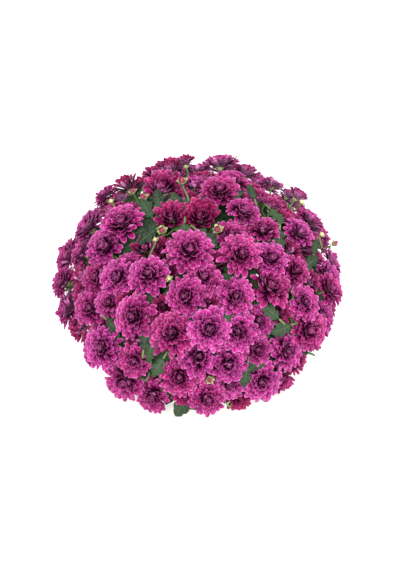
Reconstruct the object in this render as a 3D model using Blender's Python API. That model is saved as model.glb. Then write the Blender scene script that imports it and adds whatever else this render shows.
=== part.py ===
"""Pot chrysanthemum: a dome of double blooms on leafy stems, in a plain pot of soil.

Metres, +Z up, +X to the right as the plant is seen from its front, -Y. The origin is the centre
of the pot's base.
"""
import math
import random

import bmesh
import bpy
import numpy as np
from mathutils.bvhtree import BVHTree

# Pot and soil
POT_HEIGHT = 0.120
POT_BASE_RADIUS = 0.052
POT_TOP_RADIUS = 0.0755
POT_WALL = 0.0026
POT_FLOOR = 0.0035
RIM_BAND = 0.017
POT_SIDES = 24
SOIL_EDGE = 0.106
SOIL_CROWN = 0.112
RIM_STEP = 0.0035
EDGE_ROUND = 0.0015
CLEAR = 0.0003

# Canopy: the blooms sit on a half ellipsoid that stands on the height CANOPY_BASE
CANOPY_BASE = 0.130
SEAT_RADIUS = 0.154
SEAT_HEIGHT = 0.133
UPTURN = 0.36

# The view that the blooms were placed by, and the size of its pixels at the canopy's middle
VIEW_ELEVATION = math.radians(52)
VIEW_DISTANCE = 1.5
PIXEL = 0.00112
MIDDLE_PX = 199.5
MIDDLE_PY = 295.0

# Blooms
BLOOM_SCALE = 1.13
OPEN_PETALS = 7
HALF_PETALS = 5
BITE = 0.003
NUDGE = 0.0006
LAYOUT_ROUNDS = 30
LEAST_CROSSINGS = 6
BLOOM_NODES = 46
MOST_FUSED = 4
PARTING = 0.0006
HIDDEN_RADII = (0.0185, 0.0225)
HIDDEN_SPACING = 0.88
UNDER_RADII = (0.0145, 0.0175)
UNDER_SPACING = 0.69
UNDER_SINK = 0.012
LEAF_ROOM = 0.020
SEED = 7
SCRAP = 14
SPIRAL_SPOTS = 620
SEEN_FROM = 0.15
SHOWN_HOLD = 0.10
OTHER_HOLD = 0.03
SPIN = 0.7
NEAR = 0.004
SETTLE_ROUNDS = 40
SHOVE = 0.45
LONGEST_SHOVE = 0.004
DEEP_HOLD = 0.02
DEEPEST = 0.008
DEEP_PULL = 0.3
PARTING_ANGLES = np.radians(np.arange(0, 91, 7.5))
PRESS_ROUNDS = 6
PRESS_SPREAD = 2.5
PRESS_LEAST = 0.002

# Stems
SECTORS = 8
STEM_RING = 0.036
STEM_SPREAD = 0.078
STEM_TOP = 0.165
CROWN_TOP = 0.190
CROWN_RADIUS = 0.046
STEM_RADIUS = 0.0034
STEM_SIDES = 5
STEM_BEND = 0.012
STEM_TAPER = 0.7
STEM_FORKS = (0.5, 0.97)
STALK_FORKS = (0.25, 0.70)
STALK_BENDS = (0.35, 0.7)
STALK_RADIUS = 0.0012
STALK_SIDES = 3
CUP_RADIUS = 0.0042
NECK = 0.012
STALK_ROOM = 0.003
HOLE_DEPTH = 0.014
BUD_LIFTS = (0.003, 0.007, 0.011, 0.016, -0.003)
BUD_SIDES = 4
BUD_RINGS = ((1.0, -0.3), (0.8, 0.6), (0, 1.2))
JOINT_STEP = 0.004
RISE = 0.008
ROOT_RADIUS = 0.0006
ROOT_TRIES = 36
ROOT_STRIDE = 3
STALK_LEANS = ((0, 0), (0.5, 0.5), (0.5, 2.1), (0.5, 3.7), (0.5, 5.3), (1.1, 1.3), (1.1, 2.9),
               (1.1, 4.5))
NO_LEAN = ((0, 0),)
DUCK_ROUNDS = 8
RUN_SPOTS = np.arange(0.08, 1, 0.12)
RUN_ROOM = 0.0021
MARGIN = 0.0005

# Leaves
LEAF_THICKNESS = 0.0022
LEAF_SINK = 0.006
LEAF_NECK = 0.008
LEAF_ARCH = 0.22
LEAF_DROOP = 0.5
LEAF_BASE_BREADTH = 1.6
LEAF_TEST_SIZE = 1.05
LEAF_SIZES = (1.0, 0.85, 0.7)
LEAF_SINKS = (0, 0.004, 0.008, 0.012, 0.017)
LEAF_VEERS = (0, 25, -25, 55, -55)
LEAF_BEHIND = 0.45
SKIRT_LEAVES = 3
SKIRT_LENGTHS = (0.042, 0.054)
SKIRT_RADIUS = 0.086
SKIRT_HEIGHT = 0.128
SKIRT_FALLS = (0.10, 0.35)
SKIRT_DROPS = (0, 0.004, 0.008)
SKIRT_VEERS = (0, 0.12, -0.12)

# Blooms that show from the front: pixel x, pixel y, breadth in mm, kind, and how deep under its
# neighbours the bloom sits, in mm
SHOWN_BLOOMS = [
    (151, 161, 30, "half", 0), (134, 171, 24, "half", 6), (172, 170, 32, "open", 2),
    (186, 169, 22, "half", 2), (198, 163, 34, "open", 2), (220, 167, 38, "open", 0),
    (231, 179, 42, "open", 0), (247, 170, 32, "open", 2), (261, 174, 26, "open", 3),
    (279, 178, 28, "open", 0), (292, 189, 20, "half", 3), (300, 194, 24, "half", 0),
    (311, 206, 26, "half", 2), (309, 219, 35, "open", 0), (299, 234, 36, "open", 0),
    (161, 186, 45, "open", 0), (129, 185, 34, "open", 0), (102, 194, 34, "open", 0),
    (116, 187, 24, "half", 6), (128, 202, 22, "half", 10), (92, 212, 32, "open", 0),
    (110, 211, 24, "half", 8), (165, 215, 38, "open", 2), (206, 217, 44, "open", 0),
    (219, 191, 42, "open", 2), (196, 180, 30, "open", 6), (245, 212, 36, "open", 2),
    (233, 231, 36, "open", 3), (273, 202, 26, "half", 4), (262, 191, 24, "half", 8),
    (266, 226, 36, "open", 2), (88, 227, 40, "open", 0), (62, 254, 42, "open", 0),
    (78, 249, 34, "open", 4), (103, 246, 44, "open", 0), (124, 227, 48, "open", 0),
    (140, 243, 28, "half", 8), (124, 262, 34, "open", 7), (190, 253, 50, "open", 0),
    (205, 275, 42, "open", 5), (220, 254, 28, "half", 8), (240, 256, 46, "open", 0),
    (272, 257, 38, "open", 0), (117, 279, 40, "open", 0), (149, 275, 44, "open", 0),
    (93, 275, 38, "open", 2), (64, 283, 34, "open", 0), (64, 308, 38, "open", 0),
    (87, 307, 40, "open", 0), (107, 302, 32, "open", 4), (124, 299, 26, "half", 6),
    (272, 288, 46, "open", 0), (236, 297, 40, "open", 2), (222, 292, 24, "half", 6),
    (183, 300, 42, "open", 0), (162, 301, 26, "half", 8), (209, 301, 22, "half", 5),
    (136, 319, 47, "open", 0), (156, 322, 20, "half", 9), (172, 333, 50, "open", 0),
    (210, 330, 46, "open", 0), (237, 333, 44, "open", 2), (261, 320, 36, "open", 4),
    (284, 312, 28, "half", 4), (301, 303, 38, "open", 0), (326, 290, 36, "open", 0),
    (325, 314, 34, "open", 0), (308, 331, 46, "open", 0), (320, 343, 26, "half", 8),
    (287, 354, 38, "open", 0), (260, 351, 32, "open", 4), (262, 382, 44, "open", 0),
    (230, 388, 36, "open", 6), (230, 364, 40, "open", 0), (198, 356, 44, "open", 3),
    (198, 377, 28, "half", 9), (179, 379, 42, "open", 0), (209, 399, 40, "open", 0),
    (152, 397, 38, "open", 2), (155, 386, 22, "half", 8), (126, 382, 44, "open", 0),
    (135, 361, 36, "open", 4), (131, 343, 26, "half", 9), (103, 348, 44, "open", 0),
    (96, 328, 30, "open", 6), (82, 335, 24, "half", 4), (298, 270, 34, "open", 3),
    (295, 246, 26, "half", 5), (304, 257, 22, "half", 8), (287, 216, 26, "half", 6),
    (315, 279, 26, "half", 5), (329, 274, 34, "open", 2), (336, 223, 32, "open", 0),
    (320, 239, 20, "half", 4), (338, 261, 32, "open", 0), (325, 256, 26, "half", 5),
    (167, 266, 26, "half", 10),
]

# Closed buds that show from the front: pixel x, pixel y, radius in mm
SHOWN_BUDS = [
    (115, 208, 3.2), (122, 210, 2.6), (183, 222, 3.8), (157, 245, 3.0), (170, 253, 4.4),
    (170, 281, 3.4), (297, 209, 3.4), (316, 240, 3.4), (275, 305, 2.6), (133, 193, 4.4),
    (144, 199, 5.4), (163, 234, 4.8), (183, 192, 5.6), (292, 234, 4.4), (320, 205, 4.4),
    (324, 240, 4.8), (337, 245, 4.4), (103, 262, 4.4), (217, 233, 5.4), (209, 378, 4.2),
]

# Leaves that show between the blooms: pixel x, pixel y, length in mm, and the way the leaf points,
# in degrees round the view from the right
SHOWN_LEAVES = [
    (150, 205, 50, 250), (178, 232, 46, 200), (186, 205, 44, 100), (146, 232, 44, 20),
    (158, 310, 40, 90), (148, 340, 38, 60), (160, 362, 38, 250), (272, 322, 46, 320),
    (252, 370, 46, 280), (280, 235, 42, 10), (310, 285, 36, 340), (314, 262, 34, 30),
    (150, 376, 38, 210), (210, 240, 36, 180), (256, 205, 36, 120), (120, 200, 36, 150),
    (220, 312, 34, 0), (196, 316, 34, 270), (104, 318, 34, 230), (288, 272, 34, 60),
]

# A bloom's outline, from its base up: for each ring the radius and height over the bloom's
# radius, the points for each petal, and the turn in petals
BLOOM_RINGS = {
    "open": ((0, -0.30, 0, 0), (1.0, 0.0, 2, 0), (0.54, 0.16, 1, 0.5), (0.74, 0.45, 2, 0.5),
             (0, 0.34, 0, 0)),
    "half": ((0, -0.50, 0, 0), (0.95, 0.12, 2, 0), (0.62, 0.16, 1, 0.5), (0.72, 0.52, 2, 0.5),
             (0, 0.34, 0, 0)),
}
NOTCH = 0.78
# The rings that hold the whole bloom, for telling how far it reaches, and the room for its stalk
HULL_RINGS = {
    "open": ((0, -0.30), (1.0, 0.0), (0.74, 0.45)),
    "half": ((0, -0.50), (0.95, 0.12), (0.72, 0.52)),
}
STALK_RINGS = {"open": (0.15, -0.36), "half": (0.2, -0.58)}

# Half of a leaf's outline, from stalk to tip, over its length
LEAF_EDGE = ((0.20, 0.30), (0.36, 0.17), (0.60, 0.36), (0.70, 0.17))
LEAF_RIB = (0.30, 0.66)

VIEW_UP = np.array([0.0, math.sin(VIEW_ELEVATION), math.cos(VIEW_ELEVATION)])
VIEW_BACK = np.array([0.0, -math.cos(VIEW_ELEVATION), math.sin(VIEW_ELEVATION)])
MIDDLE = np.array([0.0, 0.0, CANOPY_BASE])
SEAT = np.array([SEAT_RADIUS, SEAT_RADIUS, SEAT_HEIGHT])
EYE = MIDDLE + VIEW_DISTANCE * VIEW_BACK
UP = np.array([0.0, 0.0, 1.0])


def unit(v):
    return v / np.linalg.norm(v)


def seat_under(px, py):
    """The point of the seat that shows at a pixel, or the nearest one of its outline."""
    ray = np.array([(px - MIDDLE_PX) * PIXEL, 0, 0]) + (MIDDLE_PY - py) * PIXEL * VIEW_UP
    ray = ray - VIEW_DISTANCE * VIEW_BACK
    start, step = (EYE - MIDDLE) / SEAT, ray / SEAT
    a, b, c = step @ step, start @ step, start @ start - 1
    t = (-b - math.sqrt(max(b * b - a * c, 0))) / a
    return unit(start + t * step) * SEAT + MIDDLE


def outward(point):
    """The seat's outward direction at a point, turned up a little."""
    return unit(unit((point - MIDDLE) / SEAT ** 2) + UP * UPTURN)


def shown_blooms():
    found = []
    for px, py, breadth, kind, sink in SHOWN_BLOOMS:
        point = seat_under(px, py)
        facing = outward(point)
        at = point - facing * sink / 1000
        nearness = np.linalg.norm(EYE - at) / VIEW_DISTANCE
        found.append(dict(at=at, home=at.copy(), facing=facing, kind=kind, hold=SHOWN_HOLD,
                          radius=BLOOM_SCALE * nearness * breadth / 2000))
    return found


def add_other_blooms(found):
    """Fills the far side on a golden spiral, and sets smaller blooms under the shown ones."""
    draw = random.Random(SEED)
    leafy = [seat_under(px, py) for px, py, _, _ in SHOWN_LEAVES]
    for k in range(SPIRAL_SPOTS):
        z = 1 - (k + 0.5) / SPIRAL_SPOTS
        angle = k * math.pi * (3 - math.sqrt(5))
        flat = math.sqrt(1 - z * z)
        at = MIDDLE + SEAT * np.array([flat * math.cos(angle), flat * math.sin(angle), z])
        facing = outward(at)
        hidden = (EYE - at) @ facing < SEEN_FROM * VIEW_DISTANCE
        radius = draw.uniform(*(HIDDEN_RADII if hidden else UNDER_RADII))
        spacing = HIDDEN_SPACING if hidden else UNDER_SPACING
        if any(np.linalg.norm(at - b["home"]) < spacing * (radius + b["radius"]) for b in found):
            continue
        if not hidden and any(np.linalg.norm(at - leaf) < LEAF_ROOM for leaf in leafy):
            continue
        at = at - facing * (0 if hidden else UNDER_SINK)
        found.append(dict(at=at, home=at.copy(), facing=facing, kind="open" if hidden else "half",
                          hold=OTHER_HOLD, radius=radius))


def reach(bloom, way):
    """How far a bloom reaches from its centre in a direction."""
    cosine = way @ bloom["facing"]
    sine = math.sqrt(max(1 - cosine * cosine, 0))
    rings = (*HULL_RINGS[bloom["kind"]], STALK_RINGS[bloom["kind"]])
    return bloom["radius"] * max(r * sine + z * cosine for r, z in rings)


def parting(a, b):
    """The way from bloom b to bloom a that parts them most, and how far apart they are along it."""
    between = a["at"] - b["at"]
    facing = unit(a["facing"] + b["facing"])
    side = between - facing * (between @ facing)
    side = unit(side) if np.linalg.norm(side) > 1e-5 else unit(np.cross(facing, (0.3, 0.5, 0.8)))
    lift = facing if between @ facing >= 0 else -facing
    best_way, best_gap = side, -1.0
    for turn in PARTING_ANGLES:
        way = side * math.cos(turn) + lift * math.sin(turn)
        gap = way @ between - reach(a, -way) - reach(b, way)
        if gap > best_gap:
            best_way, best_gap = way, gap
    return best_way, best_gap


def neighbours(found):
    return [(i, j) for i in range(len(found)) for j in range(i)
            if np.linalg.norm(found[i]["at"] - found[j]["at"])
            < found[i]["radius"] + found[j]["radius"] + NEAR]


def settle(found, rounds):
    """Shifts the blooms until neighbours bite into each other by BITE at most."""
    for _ in range(rounds):
        push = np.zeros((len(found), 3))
        for i, j in neighbours(found):
            way, gap = parting(found[i], found[j])
            shove = max(-BITE - gap, 0)
            push[i] += way * shove * SHOVE
            push[j] -= way * shove * SHOVE
        for bloom, shove in zip(found, push):
            shove *= min(1, LONGEST_SHOVE / max(np.linalg.norm(shove), 1e-9))
            drift = bloom["at"] + shove - bloom["home"]
            deep = drift @ bloom["facing"]
            flat = drift - bloom["facing"] * deep
            pull = deep * DEEP_HOLD + max(deep - DEEPEST, 0) * DEEP_PULL
            bloom["at"] = bloom["at"] + shove - flat * bloom["hold"] - bloom["facing"] * pull


def sprays(found):
    """Groups neighbours that press on each other most, up to MOST_FUSED in a group."""
    near = sorted((parting(found[i], found[j])[1], i, j) for i, j in neighbours(found))
    group = {i: {i} for i in range(len(found))}
    fused, count = set(), len(found)
    for _, i, j in near:
        if count <= BLOOM_NODES:
            break
        if group[i] is group[j] or len(group[i]) + len(group[j]) > MOST_FUSED:
            continue
        both = group[i] | group[j]
        fused.add((i, j))
        count -= 1
        for member in both:
            group[member] = both
    return fused, sorted({tuple(sorted(g)) for g in group.values()})


def bloom_layout():
    """The blooms, the groups that share a node, and each bloom's points and triangles."""
    found = shown_blooms()
    add_other_blooms(found)
    for k, bloom in enumerate(found):
        bloom["spin"] = SPIN * k
    settle(found, SETTLE_ROUNDS)
    fused, groups = sprays(found)
    for _ in range(LAYOUT_ROUNDS):
        drawn = [bloom_points(bloom) for bloom in found]
        squeeze_apart(found, groups, [points for points, _ in drawn])
        trees = [solid_tree([shape]) for shape in drawn]
        loose = [(i, j) for i, j in sorted(fused)
                 if len(trees[i].overlap(trees[j])) < LEAST_CROSSINGS]
        blocked = blocked_necks(found, drawn, trees)
        if not loose and not blocked:
            break
        for i, j in loose:
            step = unit(found[j]["at"] - found[i]["at"]) * NUDGE
            found[i]["at"] = found[i]["at"] + step
            found[j]["at"] = found[j]["at"] - step
        for i, j, way in blocked:
            found[i]["at"] = found[i]["at"] + (found[i]["facing"] - way) * NUDGE
            found[j]["at"] = found[j]["at"] + way * NUDGE
    return found, [part for group in groups for part in holding_parts(group, trees)], drawn


def holding_parts(group, trees):
    """Splits a group into the blooms that do cross each other."""
    parts = []
    for i in group:
        met = [part for part in parts if any(trees[i].overlap(trees[j]) for j in part)]
        parts = [part for part in parts if part not in met] + [sum(met, []) + [i]]
    return parts


def blocked_necks(found, drawn, trees):
    """Pairs whose second bloom lies where the first one's stalk has to start, and the way out."""
    blocked = []
    for i, j in neighbours(found):
        for a, b in ((i, j), (j, i)):
            facing = found[a]["facing"]
            top = drawn[a][0][0] - facing * CLEAR
            radii = [CUP_RADIUS + MARGIN, STALK_RADIUS + MARGIN]
            neck = tube([top, top - facing * NECK], radii, STALK_SIDES)
            if trees[b].overlap(solid_tree([neck])):
                aside = found[b]["at"] - top
                blocked.append((a, b, unit(aside - facing * (aside @ facing))))
    return blocked


def bloom_points(bloom):
    """A bloom's points and triangles: layers of petals round the facing direction."""
    petals = OPEN_PETALS if bloom["kind"] == "open" else HALF_PETALS
    points, rings = [], []
    for r, z, each, turn in BLOOM_RINGS[bloom["kind"]]:
        ring = []
        for k in range(max(petals * each, 1)):
            spot, part = divmod(k, max(each, 1))
            angle = 2 * math.pi * (spot + turn) / petals + bloom["spin"]
            size = r
            if part == 1:
                angle += math.pi / petals
                size *= NOTCH
            ring.append(len(points))
            points.append((size * math.cos(angle), size * math.sin(angle), z))
        rings.append(ring)
    faces = []
    for low, high in zip(rings, rings[1:]):
        faces += strip(low, high, points)
    ahead = unit(np.cross(bloom["facing"], (0.2, 1.0, 0.1)))
    frame = np.array([ahead, np.cross(bloom["facing"], ahead), bloom["facing"]])
    return bloom["at"] + bloom["radius"] * np.array(points) @ frame, faces


def strip(low, high, points):
    """Triangles between two rings, each a loop of points in order round the axis, or one point."""
    if len(low) == 1:
        return [(low[0], high[(k + 1) % len(high)], high[k]) for k in range(len(high))]
    if len(high) == 1:
        return [(low[k], low[(k + 1) % len(low)], high[0]) for k in range(len(low))]

    def angle(ring, k):
        """The angle of a ring's k-th point, counted on past each full turn."""
        x, y, _ = points[ring[k % len(ring)]]
        x0, y0, _ = points[ring[0]]
        first = math.atan2(y0, x0)
        return first + (math.atan2(y, x) - first) % (2 * math.pi) + 2 * math.pi * (k // len(ring))

    offsets = [abs(math.remainder(angle(high, k) - angle(low, 0), 2 * math.pi))
               for k in range(len(high))]
    start = offsets.index(min(offsets))
    high = high[start:] + high[:start]
    lag = round((angle(high, 0) - angle(low, 0)) / (2 * math.pi)) * 2 * math.pi
    faces, i, j = [], 0, 0
    while i < len(low) or j < len(high):
        step_low = j == len(high) or (
            i < len(low) and angle(low, i + 1) < angle(high, j + 1) - lag)
        if step_low:
            faces.append((low[i % len(low)], low[(i + 1) % len(low)], high[j % len(high)]))
            i += 1
        else:
            faces.append((low[i % len(low)], high[(j + 1) % len(high)], high[j % len(high)]))
            j += 1
    return faces


def squeeze_apart(found, groups, shapes):
    """Presses the petals of blooms in different nodes back from a plane between the two."""
    node_of = {i: k for k, group in enumerate(groups) for i in group}
    pairs = [(i, j) for i, j in neighbours(found) if node_of[i] != node_of[j]]
    planes = []
    for i, j in pairs:
        way, _ = parting(found[i], found[j])
        low = way @ found[i]["at"] - reach(found[i], -way)
        high = way @ found[j]["at"] + reach(found[j], way)
        planes.append((i, j, way, (low + high) / 2))
    for _ in range(PRESS_ROUNDS):
        moved = 0
        for i, j, way, middle in planes:
            moved += press(shapes[i], way, middle + PARTING / 2)
            moved += press(shapes[j], -way, PARTING / 2 - middle)
        if not moved:
            return


def press(points, way, floor):
    """Squeezes the points nearest to a plane so that none lies under it; says whether any did."""
    height = points @ way
    lowest = height.min()
    if lowest >= floor - 1e-7:
        return 0
    top = floor + PRESS_SPREAD * (floor - lowest) + PRESS_LEAST
    near = height < top
    wanted = floor + (height[near] - lowest) * (top - floor) / (top - lowest)
    points[near] += np.outer(wanted - height[near], way)
    return 1


def stem_route(k):
    """A main stem: up from its hole in the soil, then leaning out. The last is the middle one."""
    foot = SOIL_EDGE - HOLE_DEPTH
    if k == SECTORS:
        return [np.array((0, 0, z)) for z in (foot, SOIL_CROWN + STEM_BEND, CROWN_TOP)]
    angle = 2 * math.pi * (k + 0.5) / SECTORS
    out = np.array([math.cos(angle), math.sin(angle), 0])
    return [out * STEM_RING + UP * foot, out * STEM_RING + UP * (SOIL_CROWN + STEM_BEND),
            out * STEM_SPREAD + UP * STEM_TOP]


def stem_for(point):
    """The main stem that carries what sits at a point."""
    if math.hypot(point[0], point[1]) < CROWN_RADIUS:
        return SECTORS
    return int(math.atan2(point[1], point[0]) / (2 * math.pi) * SECTORS % SECTORS)


def joints_along(route, low, high):
    """Places along a limb, between two shares of its length, where others may start."""
    lengths = [np.linalg.norm(b - a) for a, b in zip(route, route[1:])]
    whole, found, run = sum(lengths), [], 0
    for a, b, length in zip(route, route[1:], lengths):
        for part in np.arange(0.5, 1e3) * JOINT_STEP / length:
            if part > 1:
                break
            if low < (run + part * length) / whole < high:
                found.append(a + (b - a) * part)
        run += length
    return found


def roots_for(point, joints):
    """The places where a limb for a point may start: near ones first, and preferably lower."""
    return sorted(joints, key=lambda joint: np.linalg.norm(point - joint)
                  + 2 * max(RISE - point[2] + joint[2], 0))


def tube(route, radii, sides, side=(0.31, 0.17, 0.93)):
    """A closed tube round the points of a route. An end of no radius is a point."""
    ways = np.gradient(np.array(route), axis=0)
    points, rings = [], []
    for spot, way, radius in zip(route, ways, radii):
        way = unit(way)
        side = unit(side - way * (side @ way))
        across = np.cross(way, side)
        count = sides if radius else 1
        rings.append(list(range(len(points), len(points) + count)))
        for k in range(count):
            turn = 2 * math.pi * k / sides
            points.append(spot + radius * (side * math.cos(turn) + across * math.sin(turn)))
    faces = []
    for low, high in zip(rings, rings[1:]):
        faces += between(low, high, sides)
    for ring, flip in ((rings[0], True), (rings[-1], False)):
        faces += [(ring[0], ring[k + 1], ring[k]) if flip else (ring[0], ring[k], ring[k + 1])
                  for k in range(1, len(ring) - 1)]
    return np.array(points), faces


def between(low, high, sides):
    """Triangles between two rings of the same count, either of which may be one point."""
    faces = []
    for k in range(sides):
        a, b = low[k % len(low)], low[(k + 1) % sides % len(low)]
        c, d = high[(k + 1) % sides % len(high)], high[k % len(high)]
        if len(low) > 1:
            faces.append((a, b, d))
        if len(high) > 1:
            faces.append((b, c, d))
    return faces


def ducked(point, found, room):
    """A point of a stalk, moved clear of the blooms: down under them or out past their edge."""
    for _ in range(DUCK_ROUNDS):
        moved = False
        for bloom in found:
            gap = point - bloom["at"]
            height = gap @ bloom["facing"]
            flat = gap - bloom["facing"] * height
            wide, radius = np.linalg.norm(flat), bloom["radius"]
            low = HULL_RINGS[bloom["kind"]][0][1] * radius * max(1 - wide / radius, 0) - room
            high = HULL_RINGS[bloom["kind"]][-1][1] * radius + room
            if wide > radius + room or not low < height < high:
                continue
            past, down = radius + room - wide, height - low
            moved = True
            if past < down and wide > 1e-6:
                point = point + flat / wide * past
            else:
                point = point - bloom["facing"] * down
        if not moved:
            break
    return point


def limb_routes(end, facing, neck_length, joints, found, leans):
    """Ways for a limb from another limb to its end, which it meets the facing way or leaning."""
    side = unit(np.cross(facing, (0.2, 0.3, 0.9)))
    other = np.cross(facing, side)
    for lean, turn in leans:
        tilt = side * math.cos(turn) + other * math.sin(turn)
        neck = ducked(end - unit(facing + tilt * lean) * neck_length, found, STALK_ROOM)
        for root in roots_for(neck, joints)[:ROOT_TRIES:ROOT_STRIDE]:
            bends = [ducked(root + (neck - root) * part, found, STALK_ROOM) for part in STALK_BENDS]
            if runs_clear(root, neck, found):
                bends = []
            elif runs_clear(root, bends[1], found) and runs_clear(bends[1], neck, found):
                bends = bends[1:]
            yield [root, *bends, neck, end]


def runs_clear(start, end, found):
    """Whether a straight run between two points stays clear of the blooms."""
    spots = [start + (end - start) * part for part in RUN_SPOTS]
    return all(ducked(spot, found, RUN_ROOM) is spot for spot in spots)


def solid_tree(shapes):
    """A search tree of the triangles of several solids."""
    points, faces = [], []
    for some, triangles in shapes:
        faces += [tuple(i + len(points) for i in face) for face in triangles]
        points += [tuple(p) for p in some]
    return BVHTree.FromPolygons(points, faces)


def leaf(route, normal, length, spare=0):
    """A lobed leaf with its stalk, thick at its rib and thin at its drooping edge.

    The route holds the stalk's points from its root to the blade's base. The blade goes on the same
    way, turned flat to the normal. Spare thickness is added all round to test for room.
    """
    at = route[-1]
    along = at - route[-2]
    along = unit(along - normal * (along @ normal))
    across = np.cross(normal, along)

    def spot(x, y, z):
        droop = LEAF_ARCH * x * x + LEAF_DROOP * y * y
        return at + length * (along * x + across * y + normal * (z - droop))

    radii = [ROOT_RADIUS + spare] + [STALK_RADIUS + spare] * (len(route) - 1)
    stalk, faces = tube(route, radii, 3, across)
    base = len(stalk) - 3
    thick = LEAF_THICKNESS / length / 2 + spare / length
    points = list(stalk[:-3])
    wide = thick * LEAF_BASE_BREADTH
    points += [spot(0, wide, thick), spot(0, -wide, thick), spot(0, 0, -thick), spot(1, 0, 0)]
    points += [spot(x, 0, z) for z in (thick, -thick) for x in LEAF_RIB]
    for sign in (1, -1):
        points += [spot(x, sign * y, 0) for x, y in LEAF_EDGE]
    left, right, under, tip = range(base, base + 4)
    faces = faces[:-1] + [(left, right, base + 4), (base + 6, right, under), (base + 6, under, left)]
    for side in (0, 1):
        first = base + 8 + side * len(LEAF_EDGE)
        edge = [right if side else left, *range(first, first + len(LEAF_EDGE)), tip]
        for face in (0, 1):
            near, far = base + 4 + 2 * face, base + 5 + 2 * face
            made = [(near, a, b) for a, b in zip(edge[:2], edge[1:3])] + [(near, edge[2], far)]
            made += [(far, a, b) for a, b in zip(edge[2:], edge[3:])]
            faces += [(a, b, c) if side != face else (a, c, b) for a, b, c in made]
    return np.array(points), faces


def limb(k, shape):
    """A node's shape with its search tree and its box."""
    return dict(k=k, shape=shape, tree=solid_tree([shape]), low=shape[0].min(axis=0),
                high=shape[0].max(axis=0))


def crosses(limbs, new, same_node):
    """Whether a limb would cross one of another node, or of its own node too."""
    for old in limbs:
        if old["k"] == new["k"] and not same_node:
            continue
        if (old["high"] < new["low"]).any() or (old["low"] > new["high"]).any():
            continue
        if new["tree"].overlap(old["tree"]):
            return True
    return False


def fits(shape, k, blooms, limbs):
    """Whether a shape for a node crosses no bloom and no limb of another node."""
    new = limb(k, shape)
    return not blooms.overlap(new["tree"]) and not crosses(limbs, new, False)


def place_stalks(found, shapes, blooms, limbs, joints):
    """A stalk with its green cup under each bloom, from the nearest limb. Inner ones come first."""
    tops = [shape[0][0] - bloom["facing"] * CLEAR for bloom, shape in zip(found, shapes)]
    inner_first = sorted(range(len(found)), key=lambda i: np.linalg.norm(tops[i] - MIDDLE - UP * 0.03))
    for i in inner_first:
        k = stem_for(tops[i])
        for route in limb_routes(tops[i], found[i]["facing"], NECK, joints[k], found, STALK_LEANS):
            radii = [ROOT_RADIUS] + [STALK_RADIUS] * (len(route) - 2) + [CUP_RADIUS]
            if fits(tube(route, np.array(radii) + MARGIN / 2, STALK_SIDES), k, blooms, limbs):
                break
        limbs.append(limb(k, tube(route, radii, STALK_SIDES)))
        joints[k] += joints_along(route, *STALK_FORKS)


def place_buds(found, blooms, limbs, joints):
    """A bud on its own stalk wherever one shows and the blooms leave it room."""
    for px, py, size in SHOWN_BUDS:
        spot = seat_under(px, py)
        up, radius = outward(spot), size / 1000
        shape = bud_that_fits(spot, up, radius, found, blooms, limbs, joints)
        if shape:
            limbs.append(shape)


def bud_that_fits(spot, up, radius, found, blooms, limbs, joints):
    """A bud with its stalk, raised over its spot or sunk until it fits."""
    for lift in BUD_LIFTS:
        at = spot + up * lift
        k = stem_for(at)
        for route in limb_routes(at - up * radius, up, NECK, joints[k], found, NO_LEAN):
            radii = [ROOT_RADIUS] + [STALK_RADIUS] * (len(route) - 1)
            radii += [radius * wide for wide, _ in BUD_RINGS]
            route += [at + up * radius * high for _, high in BUD_RINGS]
            roomy = [size + MARGIN if size else 0 for size in radii]
            if fits(tube(route, roomy, BUD_SIDES), k, blooms, limbs):
                return limb(k, tube(route, radii, BUD_SIDES))
    return None


def place_leaf(limbs, joints, blooms, found, tries):
    """Adds the first of some ways to set a leaf in which it crosses no bloom and no other limb."""
    for base, along, normal, length in tries:
        roomy = length * LEAF_TEST_SIZE
        blade = limb(None, leaf([base - along * LEAF_NECK, base], normal, roomy, MARGIN))
        if blooms.overlap(blade["tree"]) or crosses(limbs, blade, True):
            continue
        first, second = stem_for(base), stem_for(base + along * length / 2)
        for k in [first] if first == second else [first, second]:
            for route in limb_routes(base, along, LEAF_NECK, joints[k], found, NO_LEAN):
                if fits(leaf(route, normal, roomy, MARGIN), k, blooms, limbs):
                    limbs.append(limb(k, leaf(route, normal, length)))
                    return


def shown_leaf_tries(px, py, length, turn):
    """A leaf between the blooms, sunk deeper, turned and made shorter until it fits."""
    spot = seat_under(px, py)
    normal = outward(spot)
    for size in LEAF_SIZES:
        for sink in LEAF_SINKS:
            for veer in LEAF_VEERS:
                angle = math.radians(turn + veer)
                way = math.cos(angle) * np.array([1.0, 0, 0]) + math.sin(angle) * VIEW_UP
                along = unit(way - normal * (way @ normal))
                span = length / 1000 * size
                base = spot - normal * (LEAF_SINK + sink) - along * span * LEAF_BEHIND
                yield base, along, normal, span


def skirt_leaf_tries(angle, length, fall):
    """A leaf that hangs out over the pot's rim under the lowest blooms."""
    for size in LEAF_SIZES:
        for drop in SKIRT_DROPS:
            for veer in SKIRT_VEERS:
                out = np.array([math.cos(angle + veer), math.sin(angle + veer), 0])
                along = unit(out - UP * fall)
                normal = unit(np.cross(along, np.cross(UP, along)))
                yield out * SKIRT_RADIUS + UP * (SKIRT_HEIGHT - drop), along, normal, length * size


def place_leaves(limbs, joints, blooms, found):
    for px, py, length, turn in SHOWN_LEAVES:
        place_leaf(limbs, joints, blooms, found, shown_leaf_tries(px, py, length, turn))
    draw = random.Random(SEED + 1)
    for k in range(SECTORS):
        for j in range(SKIRT_LEAVES):
            angle = 2 * math.pi * (k + (j + 0.5) / SKIRT_LEAVES) / SECTORS
            length, fall = draw.uniform(*SKIRT_LENGTHS), draw.uniform(*SKIRT_FALLS)
            tries = skirt_leaf_tries(angle, length, fall)
            place_leaf(limbs, joints, blooms, found, tries)


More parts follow.
